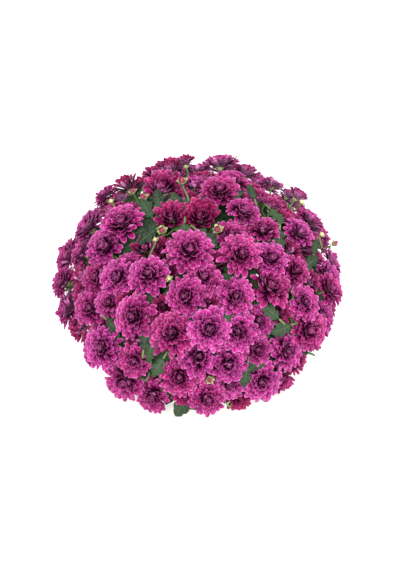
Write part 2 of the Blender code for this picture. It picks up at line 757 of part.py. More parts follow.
def material(name, colour, roughness):
    made = bpy.data.materials.new(name)
    made.use_nodes = True
    shader = made.node_tree.nodes["Principled BSDF"]
    shader.inputs["Base Color"].default_value = (*colour, 1)
    shader.inputs["Roughness"].default_value = roughness
    shader.inputs["Metallic"].default_value = 0
    return made


def new_object(name, points, faces, surface=None):
    mesh = bpy.data.meshes.new(name)
    mesh.from_pydata([tuple(p) for p in points], [], faces)
    made = bpy.data.objects.new(name, mesh)
    if surface:
        mesh.materials.append(surface)
    return made


def fuse(name, shapes, surface):
    """One object from overlapping shapes, joined by a Boolean union."""
    made = new_object(name, *shapes[0], surface)
    bpy.context.scene.collection.objects.link(made)
    if len(shapes) == 1:
        return made
    rest = bpy.data.collections.new(name + "_rest")
    for k, shape in enumerate(shapes[1:]):
        rest.objects.link(new_object(f"{name}_{k}", *shape))
    join = made.modifiers.new("join", "BOOLEAN")
    join.operation = "UNION"
    join.operand_type = "COLLECTION"
    join.collection = rest
    join.solver = "MANIFOLD"
    graph = bpy.context.evaluated_depsgraph_get()
    joined = bpy.data.meshes.new_from_object(made.evaluated_get(graph), depsgraph=graph)
    made.modifiers.clear()
    made.data = joined
    for ob in list(rest.objects):
        bpy.data.objects.remove(ob)
    bpy.data.collections.remove(rest)
    drop_scraps(joined)
    return made


def drop_scraps(mesh):
    """Leaves out the few-cornered chips that a union cuts off."""
    bm = bmesh.new()
    bm.from_mesh(mesh)
    seen = set()
    for start in list(bm.verts):
        if start in seen:
            continue
        body, front = {start}, [start]
        while front:
            for edge in front.pop().link_edges:
                for end in edge.verts:
                    if end not in body:
                        body.add(end)
                        front.append(end)
        seen |= body
        if len(body) < SCRAP:
            bmesh.ops.delete(bm, geom=list(body), context="VERTS")
    bm.to_mesh(mesh)
    bm.free()


def turned(name, profile, surface, sides=POT_SIDES):
    """A solid of revolution whose profile starts and ends on the axis, from the bottom outwards."""
    points, rings = [], []
    for r, z in profile:
        count = sides if r > 0 else 1
        rings.append(list(range(len(points), len(points) + count)))
        for k in range(count):
            angle = 2 * math.pi * k / sides
            points.append((r * math.cos(angle), r * math.sin(angle), z))
    faces = []
    for low, high in zip(rings, rings[1:]):
        faces += between(low, high, sides)
    made = new_object(name, points, faces, surface)
    bpy.context.scene.collection.objects.link(made)
    return made


def wall_at(height):
    """The pot's outer radius below its rim band."""
    return POT_BASE_RADIUS + (POT_TOP_RADIUS - RIM_STEP - POT_BASE_RADIUS) * height / POT_HEIGHT


def build_pot():
    band = POT_HEIGHT - RIM_BAND
    inside = wall_at(POT_HEIGHT) - POT_WALL
    profile = [(0, 0), (POT_BASE_RADIUS - EDGE_ROUND, 0), (wall_at(EDGE_ROUND), EDGE_ROUND),
               (wall_at(band), band), (POT_TOP_RADIUS - EDGE_ROUND / 2, band + 2 * EDGE_ROUND),
               (POT_TOP_RADIUS, POT_HEIGHT - EDGE_ROUND), (POT_TOP_RADIUS - EDGE_ROUND, POT_HEIGHT),
               (inside + EDGE_ROUND, POT_HEIGHT), (inside, POT_HEIGHT - EDGE_ROUND),
               (wall_at(POT_FLOOR) - POT_WALL, POT_FLOOR), (0, POT_FLOOR)]
    return turned("pot", profile, material("pot_cream", (0.78, 0.71, 0.58), 0.45))


def build_soil():
    """Soil that fills the pot, mounded a little, with a plain hole for each main stem."""
    inside = POT_WALL + CLEAR
    profile = [(0, POT_FLOOR + CLEAR), (wall_at(POT_FLOOR) - inside, POT_FLOOR + CLEAR),
               (wall_at(SOIL_EDGE) - inside, SOIL_EDGE), (0, SOIL_CROWN)]
    soil = turned("soil", profile, material("soil_brown", (0.06, 0.038, 0.025), 0.95))
    for k in range(SECTORS + 1):
        foot = stem_route(k)[0]
        low = foot - UP * CLEAR
        high = foot + UP * 2 * HOLE_DEPTH
        radius = STEM_RADIUS / math.cos(math.pi / STEM_SIDES) + CLEAR
        cutter = new_object("hole", *tube([low, high], [radius] * 2, STEM_SIDES + 2))
        bpy.context.scene.collection.objects.link(cutter)
        cut = soil.modifiers.new("hole", "BOOLEAN")
        cut.operation = "DIFFERENCE"
        cut.object = cutter
        graph = bpy.context.evaluated_depsgraph_get()
        soil.data = bpy.data.meshes.new_from_object(soil.evaluated_get(graph), depsgraph=graph)
        soil.modifiers.clear()
        bpy.data.objects.remove(cutter)
    return soil


def build_plant():
    found, groups, drawn = bloom_layout()
    magenta = material("petal_magenta", (0.36, 0.045, 0.20), 0.6)
    green = material("leaf_green", (0.055, 0.13, 0.035), 0.6)
    for k, group in enumerate(groups):
        fuse(f"blooms_{k + 1:02d}", [drawn[i] for i in group], magenta)
    blooms = solid_tree(drawn)
    limbs, joints = [], {}
    for k in range(SECTORS + 1):
        joints[k] = joints_along(stem_route(k), *STEM_FORKS)
    place_stalks(found, drawn, blooms, limbs, joints)
    place_buds(found, blooms, limbs, joints)
    place_leaves(limbs, joints, blooms, found)
    for k in range(SECTORS + 1):
        name = "leafy_stem_middle" if k == SECTORS else f"leafy_stem_{k + 1}"
        radii = [STEM_RADIUS, STEM_RADIUS, STEM_RADIUS * STEM_TAPER]
        trunk = tube(stem_route(k), radii, STEM_SIDES)
        fuse(name, [trunk] + [one["shape"] for one in limbs if one["k"] == k], green)


def main():
    for old in list(bpy.data.objects):
        bpy.data.objects.remove(old)
    build_pot()
    build_soil()
    build_plant()


main()
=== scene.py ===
"""The looks of the pot chrysanthemum: petals, leaves, stems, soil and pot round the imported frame.

The layout of the blooms, stalks and leaves repeats the one that the frame's solids come from, so
that each finer piece takes the place of its solid.
"""
import math
import random

import bpy
import numpy as np
from mathutils import Matrix, Vector, noise
from mathutils.bvhtree import BVHTree


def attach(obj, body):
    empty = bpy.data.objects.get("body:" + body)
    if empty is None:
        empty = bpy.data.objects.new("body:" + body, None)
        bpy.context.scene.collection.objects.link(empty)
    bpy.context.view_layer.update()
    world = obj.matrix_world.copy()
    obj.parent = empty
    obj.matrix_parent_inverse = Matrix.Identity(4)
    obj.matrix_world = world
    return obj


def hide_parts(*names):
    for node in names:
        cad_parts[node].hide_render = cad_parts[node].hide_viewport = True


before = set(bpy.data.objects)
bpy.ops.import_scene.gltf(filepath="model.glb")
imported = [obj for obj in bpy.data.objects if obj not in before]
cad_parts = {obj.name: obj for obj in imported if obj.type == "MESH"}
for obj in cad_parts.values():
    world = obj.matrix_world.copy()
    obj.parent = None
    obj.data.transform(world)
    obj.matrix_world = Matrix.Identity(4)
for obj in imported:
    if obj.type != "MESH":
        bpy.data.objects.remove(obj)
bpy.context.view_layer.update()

# Pot and soil, as in the frame's solids
POT_HEIGHT = 0.120
POT_BASE_RADIUS = 0.052
POT_TOP_RADIUS = 0.0755
POT_WALL = 0.0026
POT_FLOOR = 0.0035
RIM_BAND = 0.017
SOIL_EDGE = 0.106
SOIL_CROWN = 0.112
RIM_STEP = 0.0035
CLEAR = 0.0003

# Canopy: the blooms sit on a half ellipsoid that stands on the height CANOPY_BASE
CANOPY_BASE = 0.130
SEAT_RADIUS = 0.154
SEAT_HEIGHT = 0.133
UPTURN = 0.36

# The view that the blooms were placed by, and the size of its pixels at the canopy's middle
VIEW_ELEVATION = math.radians(52)
VIEW_DISTANCE = 1.5
PIXEL = 0.00112
MIDDLE_PX = 199.5
MIDDLE_PY = 295.0

# Distances and shoves that are as good as none
SAME_PLACE = 1e-5
NO_SHOVE = 1e-9
ON_PLANE = 1e-7
ON_AXIS = 1e-6

# Slanting directions that little lies along, to take cross products with: for the axes of a bloom,
# for two blooms' parting, for the lean of a limb, for an inner leaf and for a tube
AXES_AID = (0.2, 1.0, 0.1)
PARTING_AID = (0.3, 0.5, 0.8)
LEAN_AID = (0.2, 0.3, 0.9)
INNER_AID = (0.3, 0.2, 0.9)
TUBE_AID = (0.31, 0.17, 0.93)

# Blooms: how large, how they fill the dome, how they settle, and how their petals are pressed
BLOOM_SCALE = 1.13
OPEN_PETALS = 7
HALF_PETALS = 5
BITE = 0.003
NUDGE = 0.0006
LAYOUT_ROUNDS = 30
LEAST_CROSSINGS = 6
BLOOM_NODES = 46
MOST_FUSED = 4
PARTING = 0.0006
HIDDEN_RADII = (0.0185, 0.0225)
HIDDEN_SPACING = 0.88
UNDER_RADII = (0.0145, 0.0175)
UNDER_SPACING = 0.69
UNDER_SINK = 0.012
LEAF_ROOM = 0.020
SEED = 7
BLOOM_SEEDS = 1000
STEM_SEEDS = 2000
SPIRAL_SPOTS = 620
SEEN_FROM = 0.15
SHOWN_HOLD = 0.10
OTHER_HOLD = 0.03
SPIN = 0.7
NEAR = 0.004
SETTLE_ROUNDS = 40
SHOVE = 0.45
LONGEST_SHOVE = 0.004
DEEP_HOLD = 0.02
DEEPEST = 0.008
DEEP_PULL = 0.3
PARTING_ANGLES = np.radians(np.arange(0, 91, 7.5))
PRESS_ROUNDS = 6
PRESS_SPREAD = 2.5
PRESS_LEAST = 0.002

# Stems, the stalks and buds that fork off them, and how a stalk finds its way
SECTORS = 8
STEM_RING = 0.036
STEM_SPREAD = 0.078
STEM_TOP = 0.165
CROWN_TOP = 0.190
CROWN_RADIUS = 0.046
STEM_RADIUS = 0.0034
STEM_BEND = 0.012
STEM_TAPER = 0.7
STEM_FORKS = (0.5, 0.97)
STALK_FORKS = (0.25, 0.70)
STALK_BENDS = (0.35, 0.7)
STALK_RADIUS = 0.0012
STALK_SIDES = 3
CUP_RADIUS = 0.0042
NECK = 0.012
STALK_ROOM = 0.003
HOLE_DEPTH = 0.014
BUD_LIFTS = (0.003, 0.007, 0.011, 0.016, -0.003)
BUD_SIDES = 4
BUD_RINGS = ((1.0, -0.3), (0.8, 0.6), (0, 1.2))
JOINT_STEP = 0.004
MOST_JOINTS = 1e3
RISE = 0.008
ROOT_RADIUS = 0.0006
ROOT_TRIES = 36
ROOT_STRIDE = 3
STALK_LEANS = ((0, 0), (0.5, 0.5), (0.5, 2.1), (0.5, 3.7), (0.5, 5.3), (1.1, 1.3), (1.1, 2.9),
               (1.1, 4.5))
NO_LEAN = ((0, 0),)
DUCK_ROUNDS = 8
RUN_SPOTS = np.arange(0.08, 1, 0.12)
RUN_ROOM = 0.0021
MARGIN = 0.0005
# Stalks are placed from the inside out, as seen from this far over the dome's middle
STALK_CENTRE_RISE = 0.03
# What a root that lies too high for its limb counts for, over the same distance
ROOT_DROP_COST = 2

# Leaves between the blooms, and the skirt of leaves under them
LEAF_THICKNESS = 0.0022
LEAF_SINK = 0.006
LEAF_NECK = 0.008
LEAF_ARCH = 0.22
LEAF_DROOP = 0.5
LEAF_BASE_BREADTH = 1.6
LEAF_TEST_SIZE = 1.05
LEAF_SIZES = (1.0, 0.85, 0.7)
LEAF_SINKS = (0, 0.004, 0.008, 0.012, 0.017)
LEAF_VEERS = (0, 25, -25, 55, -55)
LEAF_BEHIND = 0.45
SKIRT_LEAVES = 3
SKIRT_LENGTHS = (0.042, 0.054)
SKIRT_RADIUS = 0.086
SKIRT_HEIGHT = 0.128
SKIRT_FALLS = (0.10, 0.35)
SKIRT_DROPS = (0, 0.004, 0.008)
SKIRT_VEERS = (0, 0.12, -0.12)

# Blooms that show from the front: pixel x, pixel y, breadth in mm, kind, and how deep under its
# neighbours the bloom sits, in mm
SHOWN_BLOOMS = [
    (151, 161, 30, "half", 0), (134, 171, 24, "half", 6), (172, 170, 32, "open", 2),
    (186, 169, 22, "half", 2), (198, 163, 34, "open", 2), (220, 167, 38, "open", 0),
    (231, 179, 42, "open", 0), (247, 170, 32, "open", 2), (261, 174, 26, "open", 3),
    (279, 178, 28, "open", 0), (292, 189, 20, "half", 3), (300, 194, 24, "half", 0),
    (311, 206, 26, "half", 2), (309, 219, 35, "open", 0), (299, 234, 36, "open", 0),
    (161, 186, 45, "open", 0), (129, 185, 34, "open", 0), (102, 194, 34, "open", 0),
    (116, 187, 24, "half", 6), (128, 202, 22, "half", 10), (92, 212, 32, "open", 0),
    (110, 211, 24, "half", 8), (165, 215, 38, "open", 2), (206, 217, 44, "open", 0),
    (219, 191, 42, "open", 2), (196, 180, 30, "open", 6), (245, 212, 36, "open", 2),
    (233, 231, 36, "open", 3), (273, 202, 26, "half", 4), (262, 191, 24, "half", 8),
    (266, 226, 36, "open", 2), (88, 227, 40, "open", 0), (62, 254, 42, "open", 0),
    (78, 249, 34, "open", 4), (103, 246, 44, "open", 0), (124, 227, 48, "open", 0),
    (140, 243, 28, "half", 8), (124, 262, 34, "open", 7), (190, 253, 50, "open", 0),
    (205, 275, 42, "open", 5), (220, 254, 28, "half", 8), (240, 256, 46, "open", 0),
    (272, 257, 38, "open", 0), (117, 279, 40, "open", 0), (149, 275, 44, "open", 0),
    (93, 275, 38, "open", 2), (64, 283, 34, "open", 0), (64, 308, 38, "open", 0),
    (87, 307, 40, "open", 0), (107, 302, 32, "open", 4), (124, 299, 26, "half", 6),
    (272, 288, 46, "open", 0), (236, 297, 40, "open", 2), (222, 292, 24, "half", 6),
    (183, 300, 42, "open", 0), (162, 301, 26, "half", 8), (209, 301, 22, "half", 5),
    (136, 319, 47, "open", 0), (156, 322, 20, "half", 9), (172, 333, 50, "open", 0),
    (210, 330, 46, "open", 0), (237, 333, 44, "open", 2), (261, 320, 36, "open", 4),
    (284, 312, 28, "half", 4), (301, 303, 38, "open", 0), (326, 290, 36, "open", 0),
    (325, 314, 34, "open", 0), (308, 331, 46, "open", 0), (320, 343, 26, "half", 8),
    (287, 354, 38, "open", 0), (260, 351, 32, "open", 4), (262, 382, 44, "open", 0),
    (230, 388, 36, "open", 6), (230, 364, 40, "open", 0), (198, 356, 44, "open", 3),
    (198, 377, 28, "half", 9), (179, 379, 42, "open", 0), (209, 399, 40, "open", 0),
    (152, 397, 38, "open", 2), (155, 386, 22, "half", 8), (126, 382, 44, "open", 0),
    (135, 361, 36, "open", 4), (131, 343, 26, "half", 9), (103, 348, 44, "open", 0),
    (96, 328, 30, "open", 6), (82, 335, 24, "half", 4), (298, 270, 34, "open", 3),
    (295, 246, 26, "half", 5), (304, 257, 22, "half", 8), (287, 216, 26, "half", 6),
    (315, 279, 26, "half", 5), (329, 274, 34, "open", 2), (336, 223, 32, "open", 0),
    (320, 239, 20, "half", 4), (338, 261, 32, "open", 0), (325, 256, 26, "half", 5),
    (167, 266, 26, "half", 10),
]

# Closed buds that show from the front: pixel x, pixel y, radius in mm
SHOWN_BUDS = [
    (115, 208, 3.2), (122, 210, 2.6), (183, 222, 3.8), (157, 245, 3.0), (170, 253, 4.4),
    (170, 281, 3.4), (297, 209, 3.4), (316, 240, 3.4), (275, 305, 2.6), (133, 193, 4.4),
    (144, 199, 5.4), (163, 234, 4.8), (183, 192, 5.6), (292, 234, 4.4), (320, 205, 4.4),
    (324, 240, 4.8), (337, 245, 4.4), (103, 262, 4.4), (217, 233, 5.4), (209, 378, 4.2),
]

# Leaves that show between the blooms: pixel x, pixel y, length in mm, and the way the leaf points,
# in degrees round the view from the right
SHOWN_LEAVES = [
    (150, 205, 50, 250), (178, 232, 46, 200), (186, 205, 44, 100), (146, 232, 44, 20),
    (158, 310, 40, 90), (148, 340, 38, 60), (160, 362, 38, 250), (272, 322, 46, 320),
    (252, 370, 46, 280), (280, 235, 42, 10), (310, 285, 36, 340), (314, 262, 34, 30),
    (150, 376, 38, 210), (210, 240, 36, 180), (256, 205, 36, 120), (120, 200, 36, 150),
    (220, 312, 34, 0), (196, 316, 34, 270), (104, 318, 34, 230), (288, 272, 34, 60),
]

# A bloom's outline, from its base up: for each ring the radius and height over the bloom's
# radius, the points for each petal, and the turn in petals
BLOOM_RINGS = {
    "open": ((0, -0.30, 0, 0), (1.0, 0.0, 2, 0), (0.54, 0.16, 1, 0.5), (0.74, 0.45, 2, 0.5),
             (0, 0.34, 0, 0)),
    "half": ((0, -0.50, 0, 0), (0.95, 0.12, 2, 0), (0.62, 0.16, 1, 0.5), (0.72, 0.52, 2, 0.5),
             (0, 0.34, 0, 0)),
}
NOTCH = 0.78
# The rings that hold the whole bloom, for telling how far it reaches, and the room for its stalk
HULL_RINGS = {
    "open": ((0, -0.30), (1.0, 0.0), (0.74, 0.45)),
    "half": ((0, -0.50), (0.95, 0.12), (0.72, 0.52)),
}
STALK_RINGS = {"open": (0.15, -0.36), "half": (0.2, -0.58)}

# Half of a leaf's outline, from stalk to tip, over its length
LEAF_EDGE = ((0.20, 0.30), (0.36, 0.17), (0.60, 0.36), (0.70, 0.17))
LEAF_RIB = (0.30, 0.66)

# Petals at some depths in the bloom, 0 at its edge and 1 at its middle: the angle over the bloom's
# plane at which a petal starts and ends, in degrees, and its length, breadth, hollow, root's
# distance from the axis, root's height and lift of the tip, over the bloom's radius
PETAL_DEPTHS = (0, 0.2, 0.4, 0.6, 0.75, 1)
PETAL_KEYS = {
    "open": dict(
        start=(10, 34, 54, 70, 80, 88), end=(-34, -16, 2, 30, 88, 135),
        length=(0.87, 0.76, 0.66, 0.54, 0.42, 0.30), breadth=(0.27, 0.27, 0.26, 0.23, 0.18, 0.12),
        hollow=(0.42, 0.46, 0.50, 0.55, 0.6, 0.5), root=(0.20, 0.17, 0.15, 0.13, 0.12, 0.04),
        height=(-0.12, -0.11, -0.10, -0.08, -0.06, 0.0), lift=(0.13, 0.17, 0.18, 0.12, 0.03, 0)),
    "half": dict(
        start=(36, 48, 60, 72, 82, 88), end=(16, 30, 46, 66, 100, 125),
        length=(0.94, 0.88, 0.78, 0.66, 0.48, 0.34), breadth=(0.30, 0.28, 0.24, 0.19, 0.14, 0.10),
        hollow=(0.30, 0.34, 0.38, 0.42, 0.5, 0.5), root=(0.18, 0.16, 0.13, 0.10, 0.07, 0.02),
        height=(-0.34, -0.29, -0.23, -0.16, -0.08, -0.02), lift=(0.08, 0.10, 0.10, 0.06, 0, 0)),
    "young": dict(
        start=(40, 50, 62, 74, 84, 88), end=(6, 20, 40, 64, 98, 124),
        length=(0.98, 0.92, 0.80, 0.64, 0.46, 0.32), breadth=(0.29, 0.27, 0.22, 0.17, 0.12, 0.09),
        hollow=(0.24, 0.28, 0.32, 0.40, 0.48, 0.5), root=(0.14, 0.13, 0.11, 0.08, 0.05, 0.02),
        height=(-0.22, -0.19, -0.14, -0.09, -0.04, 0.02), lift=(0.04, 0.06, 0.06, 0.03, 0, 0)),
}
# How many petals a bloom has, from its edge in
PETAL_COUNT = {"open": 118, "half": 92, "young": 90}
# How many petals make a turn: the half lets each turn's petals stand between those of the last
PETALS_A_TURN = {"open": 17.5, "half": 14.5, "young": 13.5}
# How far one petal's values stray from those of its neighbours, as a standard deviation
PETAL_STRAY = dict(turn=0.05, start=3, end=6, length=0.035, breadth=0.08, lift=0.04, twist=14,
                   sway=0.05)
# A petal's thickness over the bloom's radius, how much of it its tip loses, how much of it its
# upper side bulges, and its least bend in radians
PETAL_THICKNESS = 0.030
TIP_THINNING = 0.5
CAMBER = 0.5
LEAST_BEND = 1e-3

# How one bloom differs from the next: by how many degrees its outer petals droop, and droop more
# to one side, how much longer they are on one side, and the degrees that age uncurls its middle
DROOP_RANGE = (-7, 7)
LEAN_DEGREES = 10
LONG_SIDE = 0.05
AGE_CURL = 14
# A bloom's tone, from 0 for magenta to 1 for wine red
OPEN_TONES = (0, 0.55)
YOUNG_TONES = (0.6, 1.0)
# The share of petals, from the outside in, that get the finer rings
LARGE_SHARE = 0.6
# The shares of petals that curl over, in most blooms and in those that show pale backs, and the
# degrees that they curl by
CURLED_SHARE = 0.05
PALE_SHARE = 0.24
CURL = 80
# The shown blooms that are young, half open, or show pale backs, by their place in the list
YOUNG = (0, 1, 2, 3, 7, 16)
CUPPED = (15, 22, 23)
PALE = (20, 16, 25, 51, 70, 73, 69, 85, 81, 82)
# The blooms of the crown that turn part of the way to the front
TURNED = {0: 0.3, 1: 0.3, 15: 0.5, 22: 0.35, 23: 0.35}
# How large a shown bloom and one under or behind them is drawn, over its solid, how far it may
# press into the next, and how far its facing strays
BLOOM_GROWTH = 1.02
UNDER_GROWTH = 1.16
BLOOM_OVERLAP = 0.0022
TILT = 0.09

# The bracts of a green cup and the folded petals of a bud: how many, how far their ends stray in
# degrees, and each measure's value outside and how much it changes towards the middle
CUP_SCALES = (13, 5, dict(
    start=(30, 20), end=(95, -55), length=(1.0, 0.45), breadth=(0.74, 0), hollow=(0.45, 0),
    root=(0.16, 0.1), height=(-1.05, 0.1)))
BUD_SCALES = (20, 4, dict(
    start=(48, 30), end=(132, -10), length=(1.85, -0.5), breadth=(0.62, -0.2), hollow=(0.5, 0),
    root=(0.30, -0.2), height=(-0.55, 0.3)))
SCALE_TWIST = 5
SCALE_THICKNESS = 0.12
# The shown buds that are cream, by place in the list; the others are wine red
CREAM_BUDS = range(9)
# A cup's size over its bloom's radius and what is added, how far it sits over its stalk's end by
# its size, and how far up a bud its cup sits and how large it is, over the bud's radius
CUP_SHARE = 0.24
CUP_SPARE = 0.0005
CUP_LIFT = 0.5
BUD_CUP_RISE = 0.35
BUD_CUP_SIZE = 1.02

# Where a petal's rings lie along it, and its breadth there
LARGE_RINGS = ((0.14, 0.34), (0.50, 0.76), (0.78, 1.0), (0.94, 0.66))
SMALL_RINGS = ((0.12, 0.62), (0.45, 0.86), (0.76, 1.0), (0.94, 0.68))
# The points of a ring: how far across, and whether it is on the underside
LARGE_SECTION = ((-1, 0), (-0.5, 0), (0, 0), (0.5, 0), (1, 0), (0.5, 1), (-0.5, 1))
SMALL_SECTION = ((-1, 0), (0, 0), (1, 0), (0, 1))
LEAF_SECTION = ((-1, 0), (-0.66, 0), (-0.33, 0), (0, 0), (0.33, 0), (0.66, 0), (1, 0), (0.5, 1),
                (0, 1), (-0.5, 1))
PLAIN_LEAF_SECTION = ((-1, 0), (-0.5, 0), (0, 0), (0.5, 0), (1, 0), (0, 1))
GOLDEN_ANGLE = math.pi * (3 - math.sqrt(5))
# Turns are drawn between 0 and this, which is nearly a full turn
ANY_TURN = 6.28
# The bend over which an edge of the plant stays sharp, in degrees
PLANT_SHARP = 60

# What tells the foliage's material a leaf, a stalk and wood apart, and a stem's shade
LEAF_TINT = 0
STALK_TINT = 0.25
WOOD_TINT = 1
STEM_SHADE = 0.5
# The first and the last value of the look of a cup, of a cream bud and of a wine red one
CUP_LOOK = (0.5, 0)
CREAM_LOOK = (0.9, 2.0)
WINE_LOOK = (0.4, 1.0)
# The sides and the steps a bend of a stem, of a stalk that shows, and of one deep inside
STEM_DRAWN = (12, 8)
STALK_DRAWN = (6, 4)
INNER_DRAWN = (4, 2)
# A stalk's radius at its root and at its end, over the source's
STALK_SWELL = (1.15, 0.85)

# A leaf's outline over its length: where a side vein leaves the rib, and where it ends, along and
# out from the rib
LEAF_OUTLINE = (
    (0.02, 0.02, 0.022), (0.05, 0.07, 0.10), (0.08, 0.10, 0.17), (0.11, 0.18, 0.21),
    (0.14, 0.20, 0.26), (0.18, 0.28, 0.27), (0.22, 0.31, 0.215), (0.26, 0.335, 0.165),
    (0.30, 0.40, 0.21), (0.34, 0.45, 0.29), (0.38, 0.50, 0.30), (0.43, 0.575, 0.36),
    (0.50, 0.63, 0.30), (0.56, 0.67, 0.19), (0.61, 0.73, 0.215), (0.66, 0.80, 0.20),
    (0.73, 0.85, 0.13), (0.80, 0.91, 0.125), (0.90, 0.965, 0.06),
)
# Pairs of side veins that the material draws
VEIN_PAIRS = 6
# How much one leaf differs from the next, over the usual: its teeth, its arch and its droop
TOOTH_STRAY = 0.05
ARCH_RANGE = (0.7, 1.5)
DROOP_SHARES = (0.7, 1.3)
# A blade's form over its length: the waves of its edge, the groove over its rib, its thickness at
# the rib and how much of that its edge loses, and how far its two ends lie under it
EDGE_WAVE = 0.036
EDGE_WAVES = 11
RIB_GROOVE = 0.024
GROOVE_BREADTH = 0.22
RIB_THICKNESS = 0.028
EDGE_THINNING = 0.7
BLADE_THICKNESS = 0.004
END_DROP = 0.006

# Small leaves that show in the gaps between blooms: pixel x, pixel y, length in mm, the way the
# leaf points in degrees round the view from the right, and how far it stands up
GAP_LEAVES = (
    (158, 200, 24, 100, 0.5), (146, 208, 26, 120, 0.4), (152, 222, 24, 70, 0.3),
    (142, 225, 24, 200, 0.3), (186, 203, 26, 80, 0.5), (176, 200, 22, 110, 0.6),
    (190, 214, 24, 40, 0.3), (193, 226, 26, 20, 0.2), (184, 234, 26, 250, 0.2),
    (172, 232, 22, 300, 0.3), (207, 238, 28, 0, 0.1), (152, 246, 24, 180, 0.2),
    (147, 236, 24, 220, 0.2), (165, 246, 24, 270, 0.1), (213, 208, 20, 60, 0.4),
    (252, 192, 18, 90, 0.6), (238, 192, 18, 80, 0.6), (277, 216, 22, 300, 0.3),
    (280, 240, 24, 280, 0.2), (312, 262, 22, 60, 0.3), (306, 268, 20, 200, 0.3),
    (316, 247, 18, 70, 0.5), (271, 312, 24, 120, 0.2), (282, 330, 24, 240, 0.2),
    (268, 332, 24, 30, 0.1), (258, 366, 22, 60, 0.3), (246, 376, 24, 240, 0.3),
    (252, 388, 20, 200, 0.3), (145, 340, 22, 80, 0.2), (150, 352, 22, 260, 0.2),
    (158, 368, 22, 240, 0.3), (148, 388, 20, 120, 0.3), (112, 326, 20, 300, 0.3),
    (152, 305, 22, 90, 0.2), (225, 320, 18, 20, 0.2), (195, 322, 18, 80, 0.1),
)
# How much a gap leaf turns to the view, what part of it lies behind its spot, how far below its
# neck its stalk turns up, and the depths in metres and the swings in degrees that are tried
GAP_TURNED = 0.5
GAP_BEHIND = 0.5
GAP_RISE = 0.012
GAP_SINKS = (-0.004, 0, 0.004, 0.008, 0.013, 0.018, 0.024)
GAP_SWINGS = (0, 20, -20, 40, -40)
# Leaves deep under the blooms: how many all round and in the back half, and how they may lie
INNER_LEAVES = 330
BACK_LEAVES = 150
INNER_SINKS = (0.010, 0.050)
INNER_LENGTHS = (0.026, 0.046)
INNER_LIFTS = (0.0, 1.8)
INNER_DEEPER = (0, 0.005, 0.010, 0.016)
INNER_TURNS = 5

# The pot's finer form: how far in its foot ring starts and ends and how high its base is raised,
# the slope up to its band, the lip, and how much its corners are rounded
FOOT_ENDS = 0.006
FOOT_STARTS = 0.0048
BASE_RISE = 0.0012
BAND_SLOPE = 0.0022
BAND_INSET = 0.0006
LIP_INSET = 0.0004
LIP_STARTS = 0.0042
LIP_FULL = 0.0034
CORNER_ROUND = 0.0012
CORNER_STEPS = 4
LONGEST_CORNER = 0.45
POT_SIDES = 96
# The bend over which an edge stays sharp, in degrees
POT_SHARP = 40

# The soil's finer form: its rings and sides, each roughness by scale, seed and height, how far from
# the wall it fades and the crumbs stop, and the crumbs with their profile, stretch and stray
SOIL_RINGS = 30
SOIL_SIDES = 84
SOIL_ROUGHNESS = ((260, 1, 0.0014), (90, 2, 0.0018))
NOISE_SHIFT = (7.1, 3.3, 5.7)
SOIL_FADE = 0.004
TOP_SPARE = 0.001
CRUMB_GAP = 0.003
CRUMBS = 340
CRUMB_SIZES = (0.0007, 0.0026)
CRUMB_PROFILE = ((0, -1), (0.75, -0.66), (1, 0), (0.72, 0.7), (0, 1))
CRUMB_SIDES = 7
CRUMB_RISE = 0.3
CRUMB_STRETCH = (0.6, 1.2)
CRUMB_STRAY = 0.12
SOIL_SHARP = 50
# Rings that aren't a point stay this far from the axis
AXIS_GAP = 1e-4

# The photograph's frame in pixels, the view's size over the photograph's, and the sensor in mm
FRAME_WIDTH = 400
FRAME_HEIGHT = 570
VIEW_ZOOM = 0.987
SENSOR = 36
# Each softbox's place, size and power
LIGHTS = (
    ("softbox_key", (-0.14, -1.15, 1.85), 0.4, 51),
    ("softbox_fill", (1.3, -0.6, 1.3), 1.0, 14),
    ("softbox_back", (0.2, 1.3, 1.7), 1.0, 16),
)
WORLD_LIGHT = 0.56
# The floor glows a little, as under a backlit product shot, and reaches this far from the middle
FLOOR_GLOW = 0.16
FLOOR_REACH = 4
FLOOR_CORNERS = ((-1, -1), (1, -1), (1, 1), (-1, 1))

# Colours as the eye sees them, from 0 to 255
COLOURS = {
    # The petal edge colours are partly the petals' own pale edges and partly painted highlight
    "petal": (157, 36, 114), "wine petal": (126, 14, 64), "magenta edge with painted highlight": (202, 108, 174),
    # The petal root colour is painted shade, where the next turn of petals overlaps each petal
    "wine edge with painted highlight": (182, 70, 122), "painted root shade": (44, 1, 27), "bloom middle": (64, 3, 38),
    "petal back": (206, 140, 192), "wine bud": (120, 16, 62), "pale wine bud": (158, 40, 92),
    "cream bud": (205, 205, 140), "pale cream bud": (226, 214, 170), "bud edge": (226, 170, 170),
    "bud root": (140, 150, 90), "dark leaf": (14, 29, 18), "leaf": (38, 60, 32),
    "leaf mottle": (45, 67, 39), "vein": (84, 104, 70), "leaf back": (88, 106, 82),
    "stalk": (78, 106, 56), "pale stalk": (108, 128, 74), "bract": (112, 134, 74),
    "bract tip": (176, 178, 128), "wood": (104, 92, 58), "pale wood": (132, 124, 84),
    "moist soil": (38, 26, 19), "dry soil": (84, 62, 46), "soil fleck": (140, 116, 88),
    "pot": (208, 197, 170), "pale pot": (217, 208, 186), "dust": (176, 160, 130),
    "floor": (246, 246, 246), "pale floor": (250, 250, 250),
}

VIEW_UP = np.array([0.0, math.sin(VIEW_ELEVATION), math.cos(VIEW_ELEVATION)])
VIEW_BACK = np.array([0.0, -math.cos(VIEW_ELEVATION), math.sin(VIEW_ELEVATION)])
MIDDLE = np.array([0.0, 0.0, CANOPY_BASE])
SEAT = np.array([SEAT_RADIUS, SEAT_RADIUS, SEAT_HEIGHT])
EYE = MIDDLE + VIEW_DISTANCE * VIEW_BACK
UP = np.array([0.0, 0.0, 1.0])


def unit(v):
    """A direction of length 1."""
    return v / np.linalg.norm(v)


def axes_facing(way):
    """Three directions of a bloom, bud or cup, the last of which is the way that it faces."""
    ahead = unit(np.cross(way, AXES_AID))
    return np.array([ahead, np.cross(way, ahead), way])


